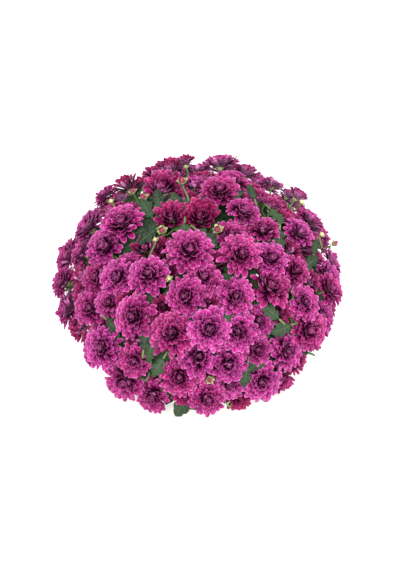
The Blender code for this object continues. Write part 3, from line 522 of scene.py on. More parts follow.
def seat_under(px, py):
    """The point of the seat that shows at a pixel, or the nearest one of its outline."""
    ray = np.array([(px - MIDDLE_PX) * PIXEL, 0, 0]) + (MIDDLE_PY - py) * PIXEL * VIEW_UP
    ray = ray - VIEW_DISTANCE * VIEW_BACK
    start, step = (EYE - MIDDLE) / SEAT, ray / SEAT
    a, b, c = step @ step, start @ step, start @ start - 1
    t = (-b - math.sqrt(max(b * b - a * c, 0))) / a
    return unit(start + t * step) * SEAT + MIDDLE


def outward(point):
    """The seat's outward direction at a point, turned up a little."""
    return unit(unit((point - MIDDLE) / SEAT ** 2) + UP * UPTURN)


def shown_blooms():
    """The blooms that show from the front, each on the seat under its pixel."""
    found = []
    for px, py, breadth, kind, sink in SHOWN_BLOOMS:
        point = seat_under(px, py)
        facing = outward(point)
        at = point - facing * sink / 1000
        nearness = np.linalg.norm(EYE - at) / VIEW_DISTANCE
        found.append(dict(at=at, home=at.copy(), facing=facing, kind=kind, hold=SHOWN_HOLD,
                          radius=BLOOM_SCALE * nearness * breadth / 2000))
    return found


def spiral_spots(count):
    """Spots of the seat on a golden spiral, from its top down."""
    for k in range(count):
        z = 1 - (k + 0.5) / count
        angle = k * math.pi * (3 - math.sqrt(5))
        flat = math.sqrt(1 - z * z)
        yield MIDDLE + SEAT * np.array([flat * math.cos(angle), flat * math.sin(angle), z])


def add_other_blooms(found):
    """Fills the far side on a golden spiral, and sets smaller blooms under the shown ones."""
    draw = random.Random(SEED)
    leafy = [seat_under(px, py) for px, py, _, _ in SHOWN_LEAVES]
    for at in spiral_spots(SPIRAL_SPOTS):
        facing = outward(at)
        hidden = (EYE - at) @ facing < SEEN_FROM * VIEW_DISTANCE
        radius = draw.uniform(*(HIDDEN_RADII if hidden else UNDER_RADII))
        spacing = HIDDEN_SPACING if hidden else UNDER_SPACING
        if any(np.linalg.norm(at - b["home"]) < spacing * (radius + b["radius"]) for b in found):
            continue
        if not hidden and any(np.linalg.norm(at - leaf) < LEAF_ROOM for leaf in leafy):
            continue
        at = at - facing * (0 if hidden else UNDER_SINK)
        found.append(dict(at=at, home=at.copy(), facing=facing, kind="open" if hidden else "half",
                          hold=OTHER_HOLD, radius=radius))


def reach(bloom, way):
    """How far a bloom reaches from its centre in a direction."""
    cosine = way @ bloom["facing"]
    sine = math.sqrt(max(1 - cosine * cosine, 0))
    rings = (*HULL_RINGS[bloom["kind"]], STALK_RINGS[bloom["kind"]])
    return bloom["radius"] * max(r * sine + z * cosine for r, z in rings)


def parting(a, b):
    """The way from bloom b to bloom a that parts them most, and how far apart they are along it."""
    between = a["at"] - b["at"]
    facing = unit(a["facing"] + b["facing"])
    side = between - facing * (between @ facing)
    side = unit(side) if np.linalg.norm(side) > SAME_PLACE else unit(np.cross(facing, PARTING_AID))
    lift = facing if between @ facing >= 0 else -facing
    best_way, best_gap = side, -1.0
    for turn in PARTING_ANGLES:
        way = side * math.cos(turn) + lift * math.sin(turn)
        gap = way @ between - reach(a, -way) - reach(b, way)
        if gap > best_gap:
            best_way, best_gap = way, gap
    return best_way, best_gap


def neighbours(found):
    """Pairs of blooms that are near enough to touch."""
    return [(i, j) for i in range(len(found)) for j in range(i)
            if np.linalg.norm(found[i]["at"] - found[j]["at"])
            < found[i]["radius"] + found[j]["radius"] + NEAR]


def settle(found, rounds):
    """Shifts the blooms until neighbours bite into each other by BITE at most."""
    for _ in range(rounds):
        push = np.zeros((len(found), 3))
        for i, j in neighbours(found):
            way, gap = parting(found[i], found[j])
            shove = max(-BITE - gap, 0)
            push[i] += way * shove * SHOVE
            push[j] -= way * shove * SHOVE
        for bloom, shove in zip(found, push):
            shove *= min(1, LONGEST_SHOVE / max(np.linalg.norm(shove), NO_SHOVE))
            drift = bloom["at"] + shove - bloom["home"]
            deep = drift @ bloom["facing"]
            flat = drift - bloom["facing"] * deep
            pull = deep * DEEP_HOLD + max(deep - DEEPEST, 0) * DEEP_PULL
            bloom["at"] = bloom["at"] + shove - flat * bloom["hold"] - bloom["facing"] * pull


def sprays(found):
    """Groups neighbours that press on each other most, up to MOST_FUSED in a group."""
    near = sorted((parting(found[i], found[j])[1], i, j) for i, j in neighbours(found))
    group = {i: {i} for i in range(len(found))}
    fused, count = set(), len(found)
    for _, i, j in near:
        if count <= BLOOM_NODES:
            break
        if group[i] is group[j] or len(group[i]) + len(group[j]) > MOST_FUSED:
            continue
        both = group[i] | group[j]
        fused.add((i, j))
        count -= 1
        for member in both:
            group[member] = both
    return fused, sorted({tuple(sorted(g)) for g in group.values()})


def bloom_layout():
    """The blooms, the groups that share a node, and each bloom's points and triangles."""
    found = shown_blooms()
    add_other_blooms(found)
    for k, bloom in enumerate(found):
        bloom["spin"] = SPIN * k
    settle(found, SETTLE_ROUNDS)
    fused, groups = sprays(found)
    for _ in range(LAYOUT_ROUNDS):
        drawn = [bloom_points(bloom) for bloom in found]
        squeeze_apart(found, groups, [points for points, _ in drawn])
        trees = [solid_tree([shape]) for shape in drawn]
        loose = [(i, j) for i, j in sorted(fused)
                 if len(trees[i].overlap(trees[j])) < LEAST_CROSSINGS]
        blocked = blocked_necks(found, drawn, trees)
        if not loose and not blocked:
            break
        for i, j in loose:
            step = unit(found[j]["at"] - found[i]["at"]) * NUDGE
            found[i]["at"] = found[i]["at"] + step
            found[j]["at"] = found[j]["at"] - step
        for i, j, way in blocked:
            found[i]["at"] = found[i]["at"] + (found[i]["facing"] - way) * NUDGE
            found[j]["at"] = found[j]["at"] + way * NUDGE
    return found, [part for group in groups for part in holding_parts(group, trees)], drawn


def holding_parts(group, trees):
    """Splits a group into the blooms that do cross each other."""
    parts = []
    for i in group:
        met = [part for part in parts if any(trees[i].overlap(trees[j]) for j in part)]
        parts = [part for part in parts if part not in met] + [sum(met, []) + [i]]
    return parts


def blocked_necks(found, drawn, trees):
    """Pairs whose second bloom lies where the first one's stalk has to start, and the way out."""
    blocked = []
    for i, j in neighbours(found):
        for a, b in ((i, j), (j, i)):
            facing = found[a]["facing"]
            top = drawn[a][0][0] - facing * CLEAR
            radii = [CUP_RADIUS + MARGIN, STALK_RADIUS + MARGIN]
            neck = tube([top, top - facing * NECK], radii, STALK_SIDES)
            if trees[b].overlap(solid_tree([neck])):
                aside = found[b]["at"] - top
                blocked.append((a, b, unit(aside - facing * (aside @ facing))))
    return blocked


def bloom_points(bloom):
    """A bloom's points and triangles: layers of petals round the facing direction."""
    petals = OPEN_PETALS if bloom["kind"] == "open" else HALF_PETALS
    points, rings = [], []
    for r, z, each, turn in BLOOM_RINGS[bloom["kind"]]:
        ring = []
        for k in range(max(petals * each, 1)):
            spot, part = divmod(k, max(each, 1))
            angle = 2 * math.pi * (spot + turn) / petals + bloom["spin"]
            size = r
            if part == 1:
                angle += math.pi / petals
                size *= NOTCH
            ring.append(len(points))
            points.append((size * math.cos(angle), size * math.sin(angle), z))
        rings.append(ring)
    faces = []
    for low, high in zip(rings, rings[1:]):
        faces += strip(low, high, points)
    axes = axes_facing(bloom["facing"])
    return bloom["at"] + bloom["radius"] * np.array(points) @ axes, faces


def strip(low, high, points):
    """Triangles between two rings, each a loop of points in order round the axis, or one point."""
    if len(low) == 1:
        return [(low[0], high[(k + 1) % len(high)], high[k]) for k in range(len(high))]
    if len(high) == 1:
        return [(low[k], low[(k + 1) % len(low)], high[0]) for k in range(len(low))]

    def angle(ring, k):
        """The angle of a ring's k-th point, counted on past each full turn."""
        x, y, _ = points[ring[k % len(ring)]]
        x0, y0, _ = points[ring[0]]
        first = math.atan2(y0, x0)
        return first + (math.atan2(y, x) - first) % (2 * math.pi) + 2 * math.pi * (k // len(ring))

    offsets = [abs(math.remainder(angle(high, k) - angle(low, 0), 2 * math.pi))
               for k in range(len(high))]
    start = offsets.index(min(offsets))
    high = high[start:] + high[:start]
    lag = round((angle(high, 0) - angle(low, 0)) / (2 * math.pi)) * 2 * math.pi
    faces, i, j = [], 0, 0
    while i < len(low) or j < len(high):
        step_low = j == len(high) or (
            i < len(low) and angle(low, i + 1) < angle(high, j + 1) - lag)
        if step_low:
            faces.append((low[i % len(low)], low[(i + 1) % len(low)], high[j % len(high)]))
            i += 1
        else:
            faces.append((low[i % len(low)], high[(j + 1) % len(high)], high[j % len(high)]))
            j += 1
    return faces


def plane_between(a, b):
    """The plane that parts two blooms: the way across it to the first, and its place that way."""
    way, _ = parting(a, b)
    low = way @ a["at"] - reach(a, -way)
    high = way @ b["at"] + reach(b, way)
    return way, (low + high) / 2


def squeeze_apart(found, groups, shapes):
    """Presses the petals of blooms in different nodes back from a plane between the two."""
    node_of = {i: k for k, group in enumerate(groups) for i in group}
    pairs = [(i, j) for i, j in neighbours(found) if node_of[i] != node_of[j]]
    planes = [(i, j, *plane_between(found[i], found[j])) for i, j in pairs]
    for _ in range(PRESS_ROUNDS):
        moved = 0
        for i, j, way, middle in planes:
            moved += press(shapes[i], way, middle + PARTING / 2)
            moved += press(shapes[j], -way, PARTING / 2 - middle)
        if not moved:
            return


def press(points, way, floor):
    """Squeezes the points nearest to a plane so that none lies under it; says whether any did."""
    height = points @ way
    lowest = height.min()
    if lowest >= floor - ON_PLANE:
        return 0
    top = floor + PRESS_SPREAD * (floor - lowest) + PRESS_LEAST
    near = height < top
    wanted = floor + (height[near] - lowest) * (top - floor) / (top - lowest)
    points[near] += np.outer(wanted - height[near], way)
    return 1


def stem_route(k):
    """A main stem: up from its hole in the soil, then leaning out. The last is the middle one."""
    foot = SOIL_EDGE - HOLE_DEPTH
    if k == SECTORS:
        return [np.array((0, 0, z)) for z in (foot, SOIL_CROWN + STEM_BEND, CROWN_TOP)]
    angle = 2 * math.pi * (k + 0.5) / SECTORS
    out = np.array([math.cos(angle), math.sin(angle), 0])
    return [out * STEM_RING + UP * foot, out * STEM_RING + UP * (SOIL_CROWN + STEM_BEND),
            out * STEM_SPREAD + UP * STEM_TOP]


def stem_for(point):
    """The main stem that carries what sits at a point."""
    if math.hypot(point[0], point[1]) < CROWN_RADIUS:
        return SECTORS
    return int(math.atan2(point[1], point[0]) / (2 * math.pi) * SECTORS % SECTORS)


def joints_along(route, low, high):
    """Places along a limb, between two shares of its length, where others may start."""
    lengths = [np.linalg.norm(b - a) for a, b in zip(route, route[1:])]
    whole, found, run = sum(lengths), [], 0
    for a, b, length in zip(route, route[1:], lengths):
        for part in np.arange(0.5, MOST_JOINTS) * JOINT_STEP / length:
            if part > 1:
                break
            if low < (run + part * length) / whole < high:
                found.append(a + (b - a) * part)
        run += length
    return found


def roots_for(point, joints):
    """The places where a limb for a point may start: near ones first, and preferably lower."""
    return sorted(joints, key=lambda joint: np.linalg.norm(point - joint)
                  + ROOT_DROP_COST * max(RISE - point[2] + joint[2], 0))


def tube(route, radii, sides, side=TUBE_AID):
    """A closed tube round the points of a route. An end of no radius is a point."""
    ways = np.gradient(np.array(route), axis=0)
    points, rings = [], []
    for spot, way, radius in zip(route, ways, radii):
        way = unit(way)
        side = unit(side - way * (side @ way))
        across = np.cross(way, side)
        count = sides if radius else 1
        rings.append(list(range(len(points), len(points) + count)))
        for k in range(count):
            turn = 2 * math.pi * k / sides
            points.append(spot + radius * (side * math.cos(turn) + across * math.sin(turn)))
    faces = []
    for low, high in zip(rings, rings[1:]):
        faces += between(low, high, sides)
    for ring, flip in ((rings[0], True), (rings[-1], False)):
        faces += [(ring[0], ring[k + 1], ring[k]) if flip else (ring[0], ring[k], ring[k + 1])
                  for k in range(1, len(ring) - 1)]
    return np.array(points), faces


def between(low, high, sides):
    """Triangles between two rings of the same count, either of which may be one point."""
    faces = []
    for k in range(sides):
        a, b = low[k % len(low)], low[(k + 1) % sides % len(low)]
        c, d = high[(k + 1) % sides % len(high)], high[k % len(high)]
        if len(low) > 1:
            faces.append((a, b, d))
        if len(high) > 1:
            faces.append((b, c, d))
    return faces


def ducked(point, found, room):
    """A point of a stalk, moved clear of the blooms: down under them or out past their edge."""
    for _ in range(DUCK_ROUNDS):
        moved = False
        for bloom in found:
            gap = point - bloom["at"]
            height = gap @ bloom["facing"]
            flat = gap - bloom["facing"] * height
            wide, radius = np.linalg.norm(flat), bloom["radius"]
            low = HULL_RINGS[bloom["kind"]][0][1] * radius * max(1 - wide / radius, 0) - room
            high = HULL_RINGS[bloom["kind"]][-1][1] * radius + room
            if wide > radius + room or not low < height < high:
                continue
            past, down = radius + room - wide, height - low
            moved = True
            if past < down and wide > ON_AXIS:
                point = point + flat / wide * past
            else:
                point = point - bloom["facing"] * down
        if not moved:
            break
    return point


def limb_routes(end, facing, neck_length, joints, found, leans):
    """Ways for a limb from another limb to its end, which it meets the facing way or leaning."""
    side = unit(np.cross(facing, LEAN_AID))
    other = np.cross(facing, side)
    for lean, turn in leans:
        tilt = side * math.cos(turn) + other * math.sin(turn)
        neck = ducked(end - unit(facing + tilt * lean) * neck_length, found, STALK_ROOM)
        for root in roots_for(neck, joints)[:ROOT_TRIES:ROOT_STRIDE]:
            bends = [ducked(root + (neck - root) * part, found, STALK_ROOM) for part in STALK_BENDS]
            if runs_clear(root, neck, found):
                bends = []
            elif runs_clear(root, bends[1], found) and runs_clear(bends[1], neck, found):
                bends = bends[1:]
            yield [root, *bends, neck, end]


def runs_clear(start, end, found):
    """Whether a straight run between two points stays clear of the blooms."""
    spots = [start + (end - start) * part for part in RUN_SPOTS]
    return all(ducked(spot, found, RUN_ROOM) is spot for spot in spots)


def solid_tree(shapes):
    """A search tree of the triangles of several solids."""
    points, faces = [], []
    for some, triangles in shapes:
        faces += [tuple(i + len(points) for i in face) for face in triangles]
        points += [tuple(p) for p in some]
    return BVHTree.FromPolygons(points, faces)


def leaf(route, normal, length, spare=0):
    """A lobed leaf with its stalk, thick at its rib and thin at its drooping edge.

    The route holds the stalk's points from its root to the blade's base. The blade goes on the same
    way, turned flat to the normal. Spare thickness is added all round to test for room.
    """
    at = route[-1]
    along = at - route[-2]
    along = unit(along - normal * (along @ normal))
    across = np.cross(normal, along)

    def spot(x, y, z):
        droop = LEAF_ARCH * x * x + LEAF_DROOP * y * y
        return at + length * (along * x + across * y + normal * (z - droop))

    radii = [ROOT_RADIUS + spare] + [STALK_RADIUS + spare] * (len(route) - 1)
    stalk, faces = tube(route, radii, 3, across)
    base = len(stalk) - 3
    thick = LEAF_THICKNESS / length / 2 + spare / length
    points = list(stalk[:-3])
    wide = thick * LEAF_BASE_BREADTH
    points += [spot(0, wide, thick), spot(0, -wide, thick), spot(0, 0, -thick), spot(1, 0, 0)]
    points += [spot(x, 0, z) for z in (thick, -thick) for x in LEAF_RIB]
    for sign in (1, -1):
        points += [spot(x, sign * y, 0) for x, y in LEAF_EDGE]
    left, right, under, tip = range(base, base + 4)
    faces = faces[:-1] + [(left, right, base + 4), (base + 6, right, under),
                          (base + 6, under, left)]
    for side in (0, 1):
        first = base + 8 + side * len(LEAF_EDGE)
        edge = [right if side else left, *range(first, first + len(LEAF_EDGE)), tip]
        for face in (0, 1):
            near, far = base + 4 + 2 * face, base + 5 + 2 * face
            made = [(near, a, b) for a, b in zip(edge[:2], edge[1:3])] + [(near, edge[2], far)]
            made += [(far, a, b) for a, b in zip(edge[2:], edge[3:])]
            faces += [(a, b, c) if side != face else (a, c, b) for a, b, c in made]
    return np.array(points), faces


def limb(k, shape, **drawn):
    """A node's shape with its search tree, its box and what its finer piece is drawn from."""
    return dict(k=k, tree=solid_tree([shape]), low=shape[0].min(axis=0),
                high=shape[0].max(axis=0), **drawn)


def crosses(limbs, new, same_node):
    """Whether a limb would cross one of another node, or of its own node too."""
    for old in limbs:
        if old["k"] == new["k"] and not same_node:
            continue
        if (old["high"] < new["low"]).any() or (old["low"] > new["high"]).any():
            continue
        if new["tree"].overlap(old["tree"]):
            return True
    return False


def fits(shape, k, blooms, limbs):
    """Whether a shape for a node crosses no bloom and no limb of another node."""
    new = limb(k, shape)
    return not blooms.overlap(new["tree"]) and not crosses(limbs, new, False)


def place_stalks(found, shapes, blooms, limbs, joints):
    """A stalk with its green cup under each bloom, from the nearest limb. Inner ones come first."""
    tops = [shape[0][0] - bloom["facing"] * CLEAR for bloom, shape in zip(found, shapes)]
    inner_first = sorted(range(len(found)), key=lambda i: np.linalg.norm(
        tops[i] - MIDDLE - UP * STALK_CENTRE_RISE))
    for i in inner_first:
        k = stem_for(tops[i])
        for route in limb_routes(tops[i], found[i]["facing"], NECK, joints[k], found, STALK_LEANS):
            radii = [ROOT_RADIUS] + [STALK_RADIUS] * (len(route) - 2) + [CUP_RADIUS]
            if fits(tube(route, np.array(radii) + MARGIN / 2, STALK_SIDES), k, blooms, limbs):
                break
        limbs.append(limb(k, tube(route, radii, STALK_SIDES), kind="stalk", route=route,
                          bloom=i))
        joints[k] += joints_along(route, *STALK_FORKS)


def place_buds(found, blooms, limbs, joints):
    """A bud on its own stalk wherever one shows and the blooms leave it room."""
    for number, (px, py, size) in enumerate(SHOWN_BUDS):
        spot = seat_under(px, py)
        up, radius = outward(spot), size / 1000
        shape = bud_that_fits(spot, up, radius, found, blooms, limbs, joints)
        if shape:
            limbs.append(dict(shape, number=number))


def bud_that_fits(spot, up, radius, found, blooms, limbs, joints):
    """A bud with its stalk, raised over its spot or sunk until it fits."""
    for lift in BUD_LIFTS:
        at = spot + up * lift
        k = stem_for(at)
        for route in limb_routes(at - up * radius, up, NECK, joints[k], found, NO_LEAN):
            radii = [ROOT_RADIUS] + [STALK_RADIUS] * (len(route) - 1)
            radii += [radius * wide for wide, _ in BUD_RINGS]
            whole = route + [at + up * radius * high for _, high in BUD_RINGS]
            roomy = [size + MARGIN if size else 0 for size in radii]
            if fits(tube(whole, roomy, BUD_SIDES), k, blooms, limbs):
                return limb(k, tube(whole, radii, BUD_SIDES), kind="bud", route=route, at=at,
                            up=up, radius=radius)
    return None


def place_leaf(limbs, joints, blooms, found, tries):
    """Adds the first of some ways to set a leaf in which it crosses no bloom and no other limb."""
    for base, along, normal, length in tries:
        roomy = length * LEAF_TEST_SIZE
        blade = limb(None, leaf([base - along * LEAF_NECK, base], normal, roomy, MARGIN))
        if blooms.overlap(blade["tree"]) or crosses(limbs, blade, True):
            continue
        first, second = stem_for(base), stem_for(base + along * length / 2)
        for k in [first] if first == second else [first, second]:
            for route in limb_routes(base, along, LEAF_NECK, joints[k], found, NO_LEAN):
                if fits(leaf(route, normal, roomy, MARGIN), k, blooms, limbs):
                    limbs.append(limb(k, leaf(route, normal, length), kind="leaf",
                                      route=route, normal=normal, length=length))
                    return


def shown_leaf_tries(px, py, length, turn):
    """A leaf between the blooms, sunk deeper, turned and made shorter until it fits."""
    spot = seat_under(px, py)
    normal = outward(spot)
    for size in LEAF_SIZES:
        for sink in LEAF_SINKS:
            for veer in LEAF_VEERS:
                angle = math.radians(turn + veer)
                way = math.cos(angle) * np.array([1.0, 0, 0]) + math.sin(angle) * VIEW_UP
                along = unit(way - normal * (way @ normal))
                span = length / 1000 * size
                base = spot - normal * (LEAF_SINK + sink) - along * span * LEAF_BEHIND
                yield base, along, normal, span


def skirt_leaf_tries(angle, length, fall):
    """A leaf that hangs out over the pot's rim under the lowest blooms."""
    for size in LEAF_SIZES:
        for drop in SKIRT_DROPS:
            for veer in SKIRT_VEERS:
                out = np.array([math.cos(angle + veer), math.sin(angle + veer), 0])
                along = unit(out - UP * fall)
                normal = unit(np.cross(along, np.cross(UP, along)))
                yield out * SKIRT_RADIUS + UP * (SKIRT_HEIGHT - drop), along, normal, length * size


def place_leaves(limbs, joints, blooms, found):
    """The leaves that show between the blooms, and the skirt of leaves under them."""
    for px, py, length, turn in SHOWN_LEAVES:
        place_leaf(limbs, joints, blooms, found, shown_leaf_tries(px, py, length, turn))
    draw = random.Random(SEED + 1)
    for k in range(SECTORS):
        for j in range(SKIRT_LEAVES):
            angle = 2 * math.pi * (k + (j + 0.5) / SKIRT_LEAVES) / SECTORS
            length, fall = draw.uniform(*SKIRT_LENGTHS), draw.uniform(*SKIRT_FALLS)
            tries = skirt_leaf_tries(angle, length, fall)
            place_leaf(limbs, joints, blooms, found, tries)


class Piece:
    """Gathers closed shapes, with the places and looks that their material reads, in one mesh.

    A place is how far along and across a petal or leaf, and whether on its underside. What a look
    holds is up to the material.
    """

    def __init__(self):
        self.points, self.faces, self.places, self.looks = [], [], [], []
        self.count = 0

    def add(self, points, faces, place=(0, 0, 0), look=(0, 0, 0)):
        """Takes in a closed shape. A place or look may be one for all of its points."""
        self.points.append(points)
        self.faces.append(np.asarray(faces) + self.count)
        self.places.append(np.broadcast_to(place, points.shape))
        self.looks.append(np.broadcast_to(look, points.shape))
        self.count += len(points)

    def finish(self, name, surface, slot, nodes=(), sharp=PLANT_SHARP):
        """Makes the mesh, which rides on the root and takes the place of the frame's nodes.

        Edges that bend by more than the sharp angle, in degrees, stay sharp.
        """
        mesh = bpy.data.meshes.new(name)
        mesh.from_pydata(np.concatenate(self.points), [], np.concatenate(self.faces))
        for title, values in (("place", self.places), ("look", self.looks)):
            kept = mesh.attributes.new(title, "FLOAT_VECTOR", "POINT")
            kept.data.foreach_set("vector", np.concatenate(values).astype(np.float32).ravel())
        mesh.shade_smooth()
        mesh.set_sharp_from_angle(angle=math.radians(sharp))
        mesh.materials.append(surface)
        made = add_object(name, mesh)
        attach(made, "root")
        if nodes:
            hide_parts(*nodes)


def spindle_faces(rings, per):
    """Triangles of a closed shape: a point, rings of points round an axis, and a point again."""
    spots = 1 + np.arange(rings * per).reshape(rings, per)
    after = np.roll(spots, -1, axis=1)
    first = np.stack([np.zeros(per, int), spots[0], after[0]], axis=-1)
    last = np.stack([spots[-1], np.full(per, 1 + rings * per), after[-1]], axis=-1)
    low, low_after, high, high_after = spots[:-1], after[:-1], spots[1:], after[1:]
    near = np.stack([low, high, high_after], axis=-1).reshape(-1, 3)
    far = np.stack([low, high_after, low_after], axis=-1).reshape(-1, 3)
    return np.concatenate([first, near, far, last])


def add_petals(piece, shape, rings, section, place_axes, look):
    """Adds closed, arched petals that stand round an axis.

    The shape has an array for each measure, with a value for each petal. The place and axes are the
    origin, the three directions and the scale of the measures.
    """
    section = np.array(section, float)
    where = np.array([0, *(t for t, _ in rings), 1])
    wide = np.array([0, *(w for _, w in rings), 0])
    start, end = (np.radians(shape[key])[:, None] for key in ("start", "end"))
    bend = np.where(abs(end - start) < LEAST_BEND, LEAST_BEND, end - start)
    angle = start + bend * where
    length = shape["length"][:, None]
    r = shape["root"][:, None] + length * (np.sin(angle) - np.sin(start)) / bend
    z = shape["height"][:, None] - length * (np.cos(angle) - np.cos(start)) / bend
    half = shape["breadth"][:, None] * wide / 2
    across = section[:, 0] * half[..., None]
    under = section[:, 1]
    curl = shape["hollow"][:, None, None] * half[..., None] * section[:, 0] ** 2
    thick = shape["thick"][:, None, None] * (1 - TIP_THINNING * where[None, :, None])
    hook = (shape["lift"][:, None] * length * where ** 3)[..., None]
    up = curl + hook + thick * (CAMBER * (1 - section[:, 0] ** 2) - under)
    twist = np.radians(shape["twist"])[:, None, None] * where[None, :, None]
    side = across * np.cos(twist) - up * np.sin(twist)
    up = across * np.sin(twist) + up * np.cos(twist)
    side = side + shape["sway"][:, None, None] * where[None, :, None] ** 2
    out = r[..., None] - np.sin(angle)[..., None] * up
    high = z[..., None] + np.cos(angle)[..., None] * up
    turn = shape["turn"][:, None, None]
    local = np.stack([out * np.cos(turn) - side * np.sin(turn),
                      out * np.sin(turn) + side * np.cos(turn), high], axis=-1)
    origin, axes, scale = place_axes
    count, per = len(start), len(section)
    body = local[:, 1:-1].reshape(count, -1, 3)
    points = np.concatenate([local[:, :1, 2], body, local[:, -1:, 2]], axis=1)
    # The root and the tip lie between the upper side and the underside
    along = np.concatenate([[0], np.repeat(where[1:-1], per), [1]])
    place = np.stack([along, np.concatenate([[0], np.tile(section[:, 0], len(rings)), [0]]),
                      np.concatenate([[0.5], np.tile(under, len(rings)), [0.5]])], axis=-1)
    each = points.shape[1]
    faces = spindle_faces(len(rings), per)[None] + each * np.arange(count)[:, None, None]
    piece.add(origin + scale * points.reshape(-1, 3) @ axes, faces.reshape(-1, 3),
              np.tile(place, (count, 1)), np.repeat(look, each, axis=0))


def add_bloom(piece, bloom, kind, growth, planes, draw, turned, curled):
    """A double bloom: turns of petals that alternate, flat outside and curled in at the middle.

    It faces its own way, turned in part to the view, and a share of its petals curl back over.
    """
    count = PETAL_COUNT[kind]
    depth = (np.arange(count) + 0.5) / count
    keys = {key: np.interp(depth, PETAL_DEPTHS, row) for key, row in PETAL_KEYS[kind].items()}
    outer = 1 - depth

    def stray(key):
        """How far each petal strays in one measure."""
        return draw.normal(0, PETAL_STRAY[key], count)

    age, droop = draw.uniform(-1, 1), draw.uniform(*DROOP_RANGE)
    step = 2 * math.pi / PETALS_A_TURN[kind]
    turn = np.arange(count) * step + bloom["spin"] + stray("turn")
    lean, long_side = draw.uniform(0, ANY_TURN, 2)
    shape = dict(keys, turn=turn, thick=np.full(count, PETAL_THICKNESS))
    shape["start"] = keys["start"] + stray("start")
    shape["end"] = (keys["end"] + (droop + LEAN_DEGREES * np.cos(turn - lean)) * outer
                    - AGE_CURL * age * depth + stray("end")
                    + CURL * (draw.uniform(size=count) < curled) * outer)
    shape["length"] = keys["length"] * (1 + LONG_SIDE * np.cos(turn - long_side) + stray("length"))
    shape["breadth"] = keys["breadth"] * (1 + stray("breadth"))
    shape["lift"] = keys["lift"] + stray("lift")
    shape["twist"] = stray("twist")
    shape["sway"] = stray("sway")
    tone = draw.uniform(*(OPEN_TONES if kind == "open" else YOUNG_TONES))
    look = np.stack([depth, draw.uniform(size=count), np.full(count, tone)], axis=-1)
    large = int(count * LARGE_SHARE)
    own = Piece()
    tilt = draw.normal(0, TILT, 3)
    facing = unit(bloom["facing"] + tilt + turned * VIEW_BACK)
    axes = (bloom["at"], axes_facing(facing), bloom["radius"] * growth)
    for rings, section, chosen in ((LARGE_RINGS, LARGE_SECTION, slice(0, large)),
                                   (SMALL_RINGS, SMALL_SECTION, slice(large, None))):
        add_petals(own, {key: row[chosen] for key, row in shape.items()}, rings, section, axes,
                   look[chosen])
    points = np.concatenate(own.points)
    for way, floor in planes:
        press(points, way, floor - BLOOM_OVERLAP)
    piece.add(points, np.concatenate(own.faces), np.concatenate(own.places),
              np.concatenate(own.looks))


def pressing_planes(found):
    """For each bloom, the planes that its neighbours press it back from."""
    planes = [[] for _ in found]
    for i, j in neighbours(found):
        way, middle = plane_between(found[i], found[j])
        planes[i].append((way, middle))
        planes[j].append((-way, -middle))
    return planes


def smooth_route(route, steps):
    """A rounded line through the points of a route."""
    ends = [2 * route[0] - route[1], *route, 2 * route[-1] - route[-2]]
    line = []
    for a, b, c, d in zip(ends, ends[1:], ends[2:], ends[3:]):
        for t in np.arange(steps) / steps:
            line.append(0.5 * (2 * b + (c - a) * t + (2 * a - 5 * b + 4 * c - d) * t ** 2
                               + (3 * b - a - 3 * c + d) * t ** 3))
    return line + [route[-1]]


def add_tube(piece, route, radii, drawn, look):
    """A rounded stalk along a route, with its radii at both ends, and its sides and steps."""
    sides, steps = drawn
    line = smooth_route(route, steps)
    share = np.linspace(0, 1, len(line))
    points, faces = tube(line, radii[0] + (radii[1] - radii[0]) * share, sides)
    along = np.repeat(share, sides)
    place = np.stack([along, np.zeros_like(along), np.zeros_like(along)], axis=-1)
    piece.add(points, faces, place, look)


def add_leaf(piece, at, along, normal, length, section, draw):
    """A lobed and toothed blade with a rib, its side veins swept forward into the teeth."""
    across = np.cross(normal, along)
    outline = np.array(LEAF_OUTLINE)
    section = np.array(section, float)
    v, under = section[:, 0], section[:, 1]
    rib, edge_x, edge_y = outline.T
    tooth = 1 + draw.normal(0, TOOTH_STRAY, (len(rib), 2))
    reach_y = edge_y[:, None] * np.where(v >= 0, tooth[:, :1], tooth[:, 1:])
    x = rib[:, None] + (edge_x - rib)[:, None] * abs(v)
    y = reach_y * v
    arch = LEAF_ARCH * draw.uniform(*ARCH_RANGE)
    droop = LEAF_DROOP * draw.uniform(*DROOP_SHARES)
    phase = draw.uniform(0, ANY_TURN, 2)
    wave = EDGE_WAVE * np.sin(EDGE_WAVES * x + np.where(v >= 0, phase[0], phase[1])) * v ** 2
    groove = -RIB_GROOVE * np.exp(-(v / GROOVE_BREADTH) ** 2)
    thick = RIB_THICKNESS * (1 - EDGE_THINNING * abs(v)) + BLADE_THICKNESS
    z = wave + groove - arch * x ** 2 - droop * y ** 2 - thick * under
    body = np.stack([x, y, z], axis=-1).reshape(-1, 3)
    local = np.concatenate([[(0, 0, -END_DROP)], body, [(1.0, 0, -arch - END_DROP)]])
    place = np.concatenate([[(0, 0, 0.5)], np.stack([
        np.repeat(rib, len(v)), np.tile(v, len(rib)), np.tile(under, len(rib))], axis=-1),
        [(1, 0, 0.5)]])
    points = at + length * local @ np.array([along, across, normal])
    piece.add(points, spindle_faces(len(rib), len(v)), place, (LEAF_TINT, draw.uniform(), 0))


def add_scales(piece, at, facing, radius, scales, look, draw):
    """Bracts or folded petals that close round an axis, on a golden spiral from outside in."""
    count, stray, measures = scales
    row = (np.arange(count) + 0.5) / count
    shape = {key: outside + change * row for key, (outside, change) in measures.items()}
    shape["end"] += draw.normal(0, stray, count)
    shape.update(turn=np.arange(count) * GOLDEN_ANGLE, twist=draw.normal(0, SCALE_TWIST, count),
                 sway=np.zeros(count), lift=np.zeros(count), thick=np.full(count, SCALE_THICKNESS))
    first, last = look
    looks = np.stack([np.full(count, first), draw.uniform(size=count), np.full(count, last)],
                     axis=-1)
    axes = (at, axes_facing(facing), radius)
    add_petals(piece, shape, SMALL_RINGS, SMALL_SECTION, axes, looks)


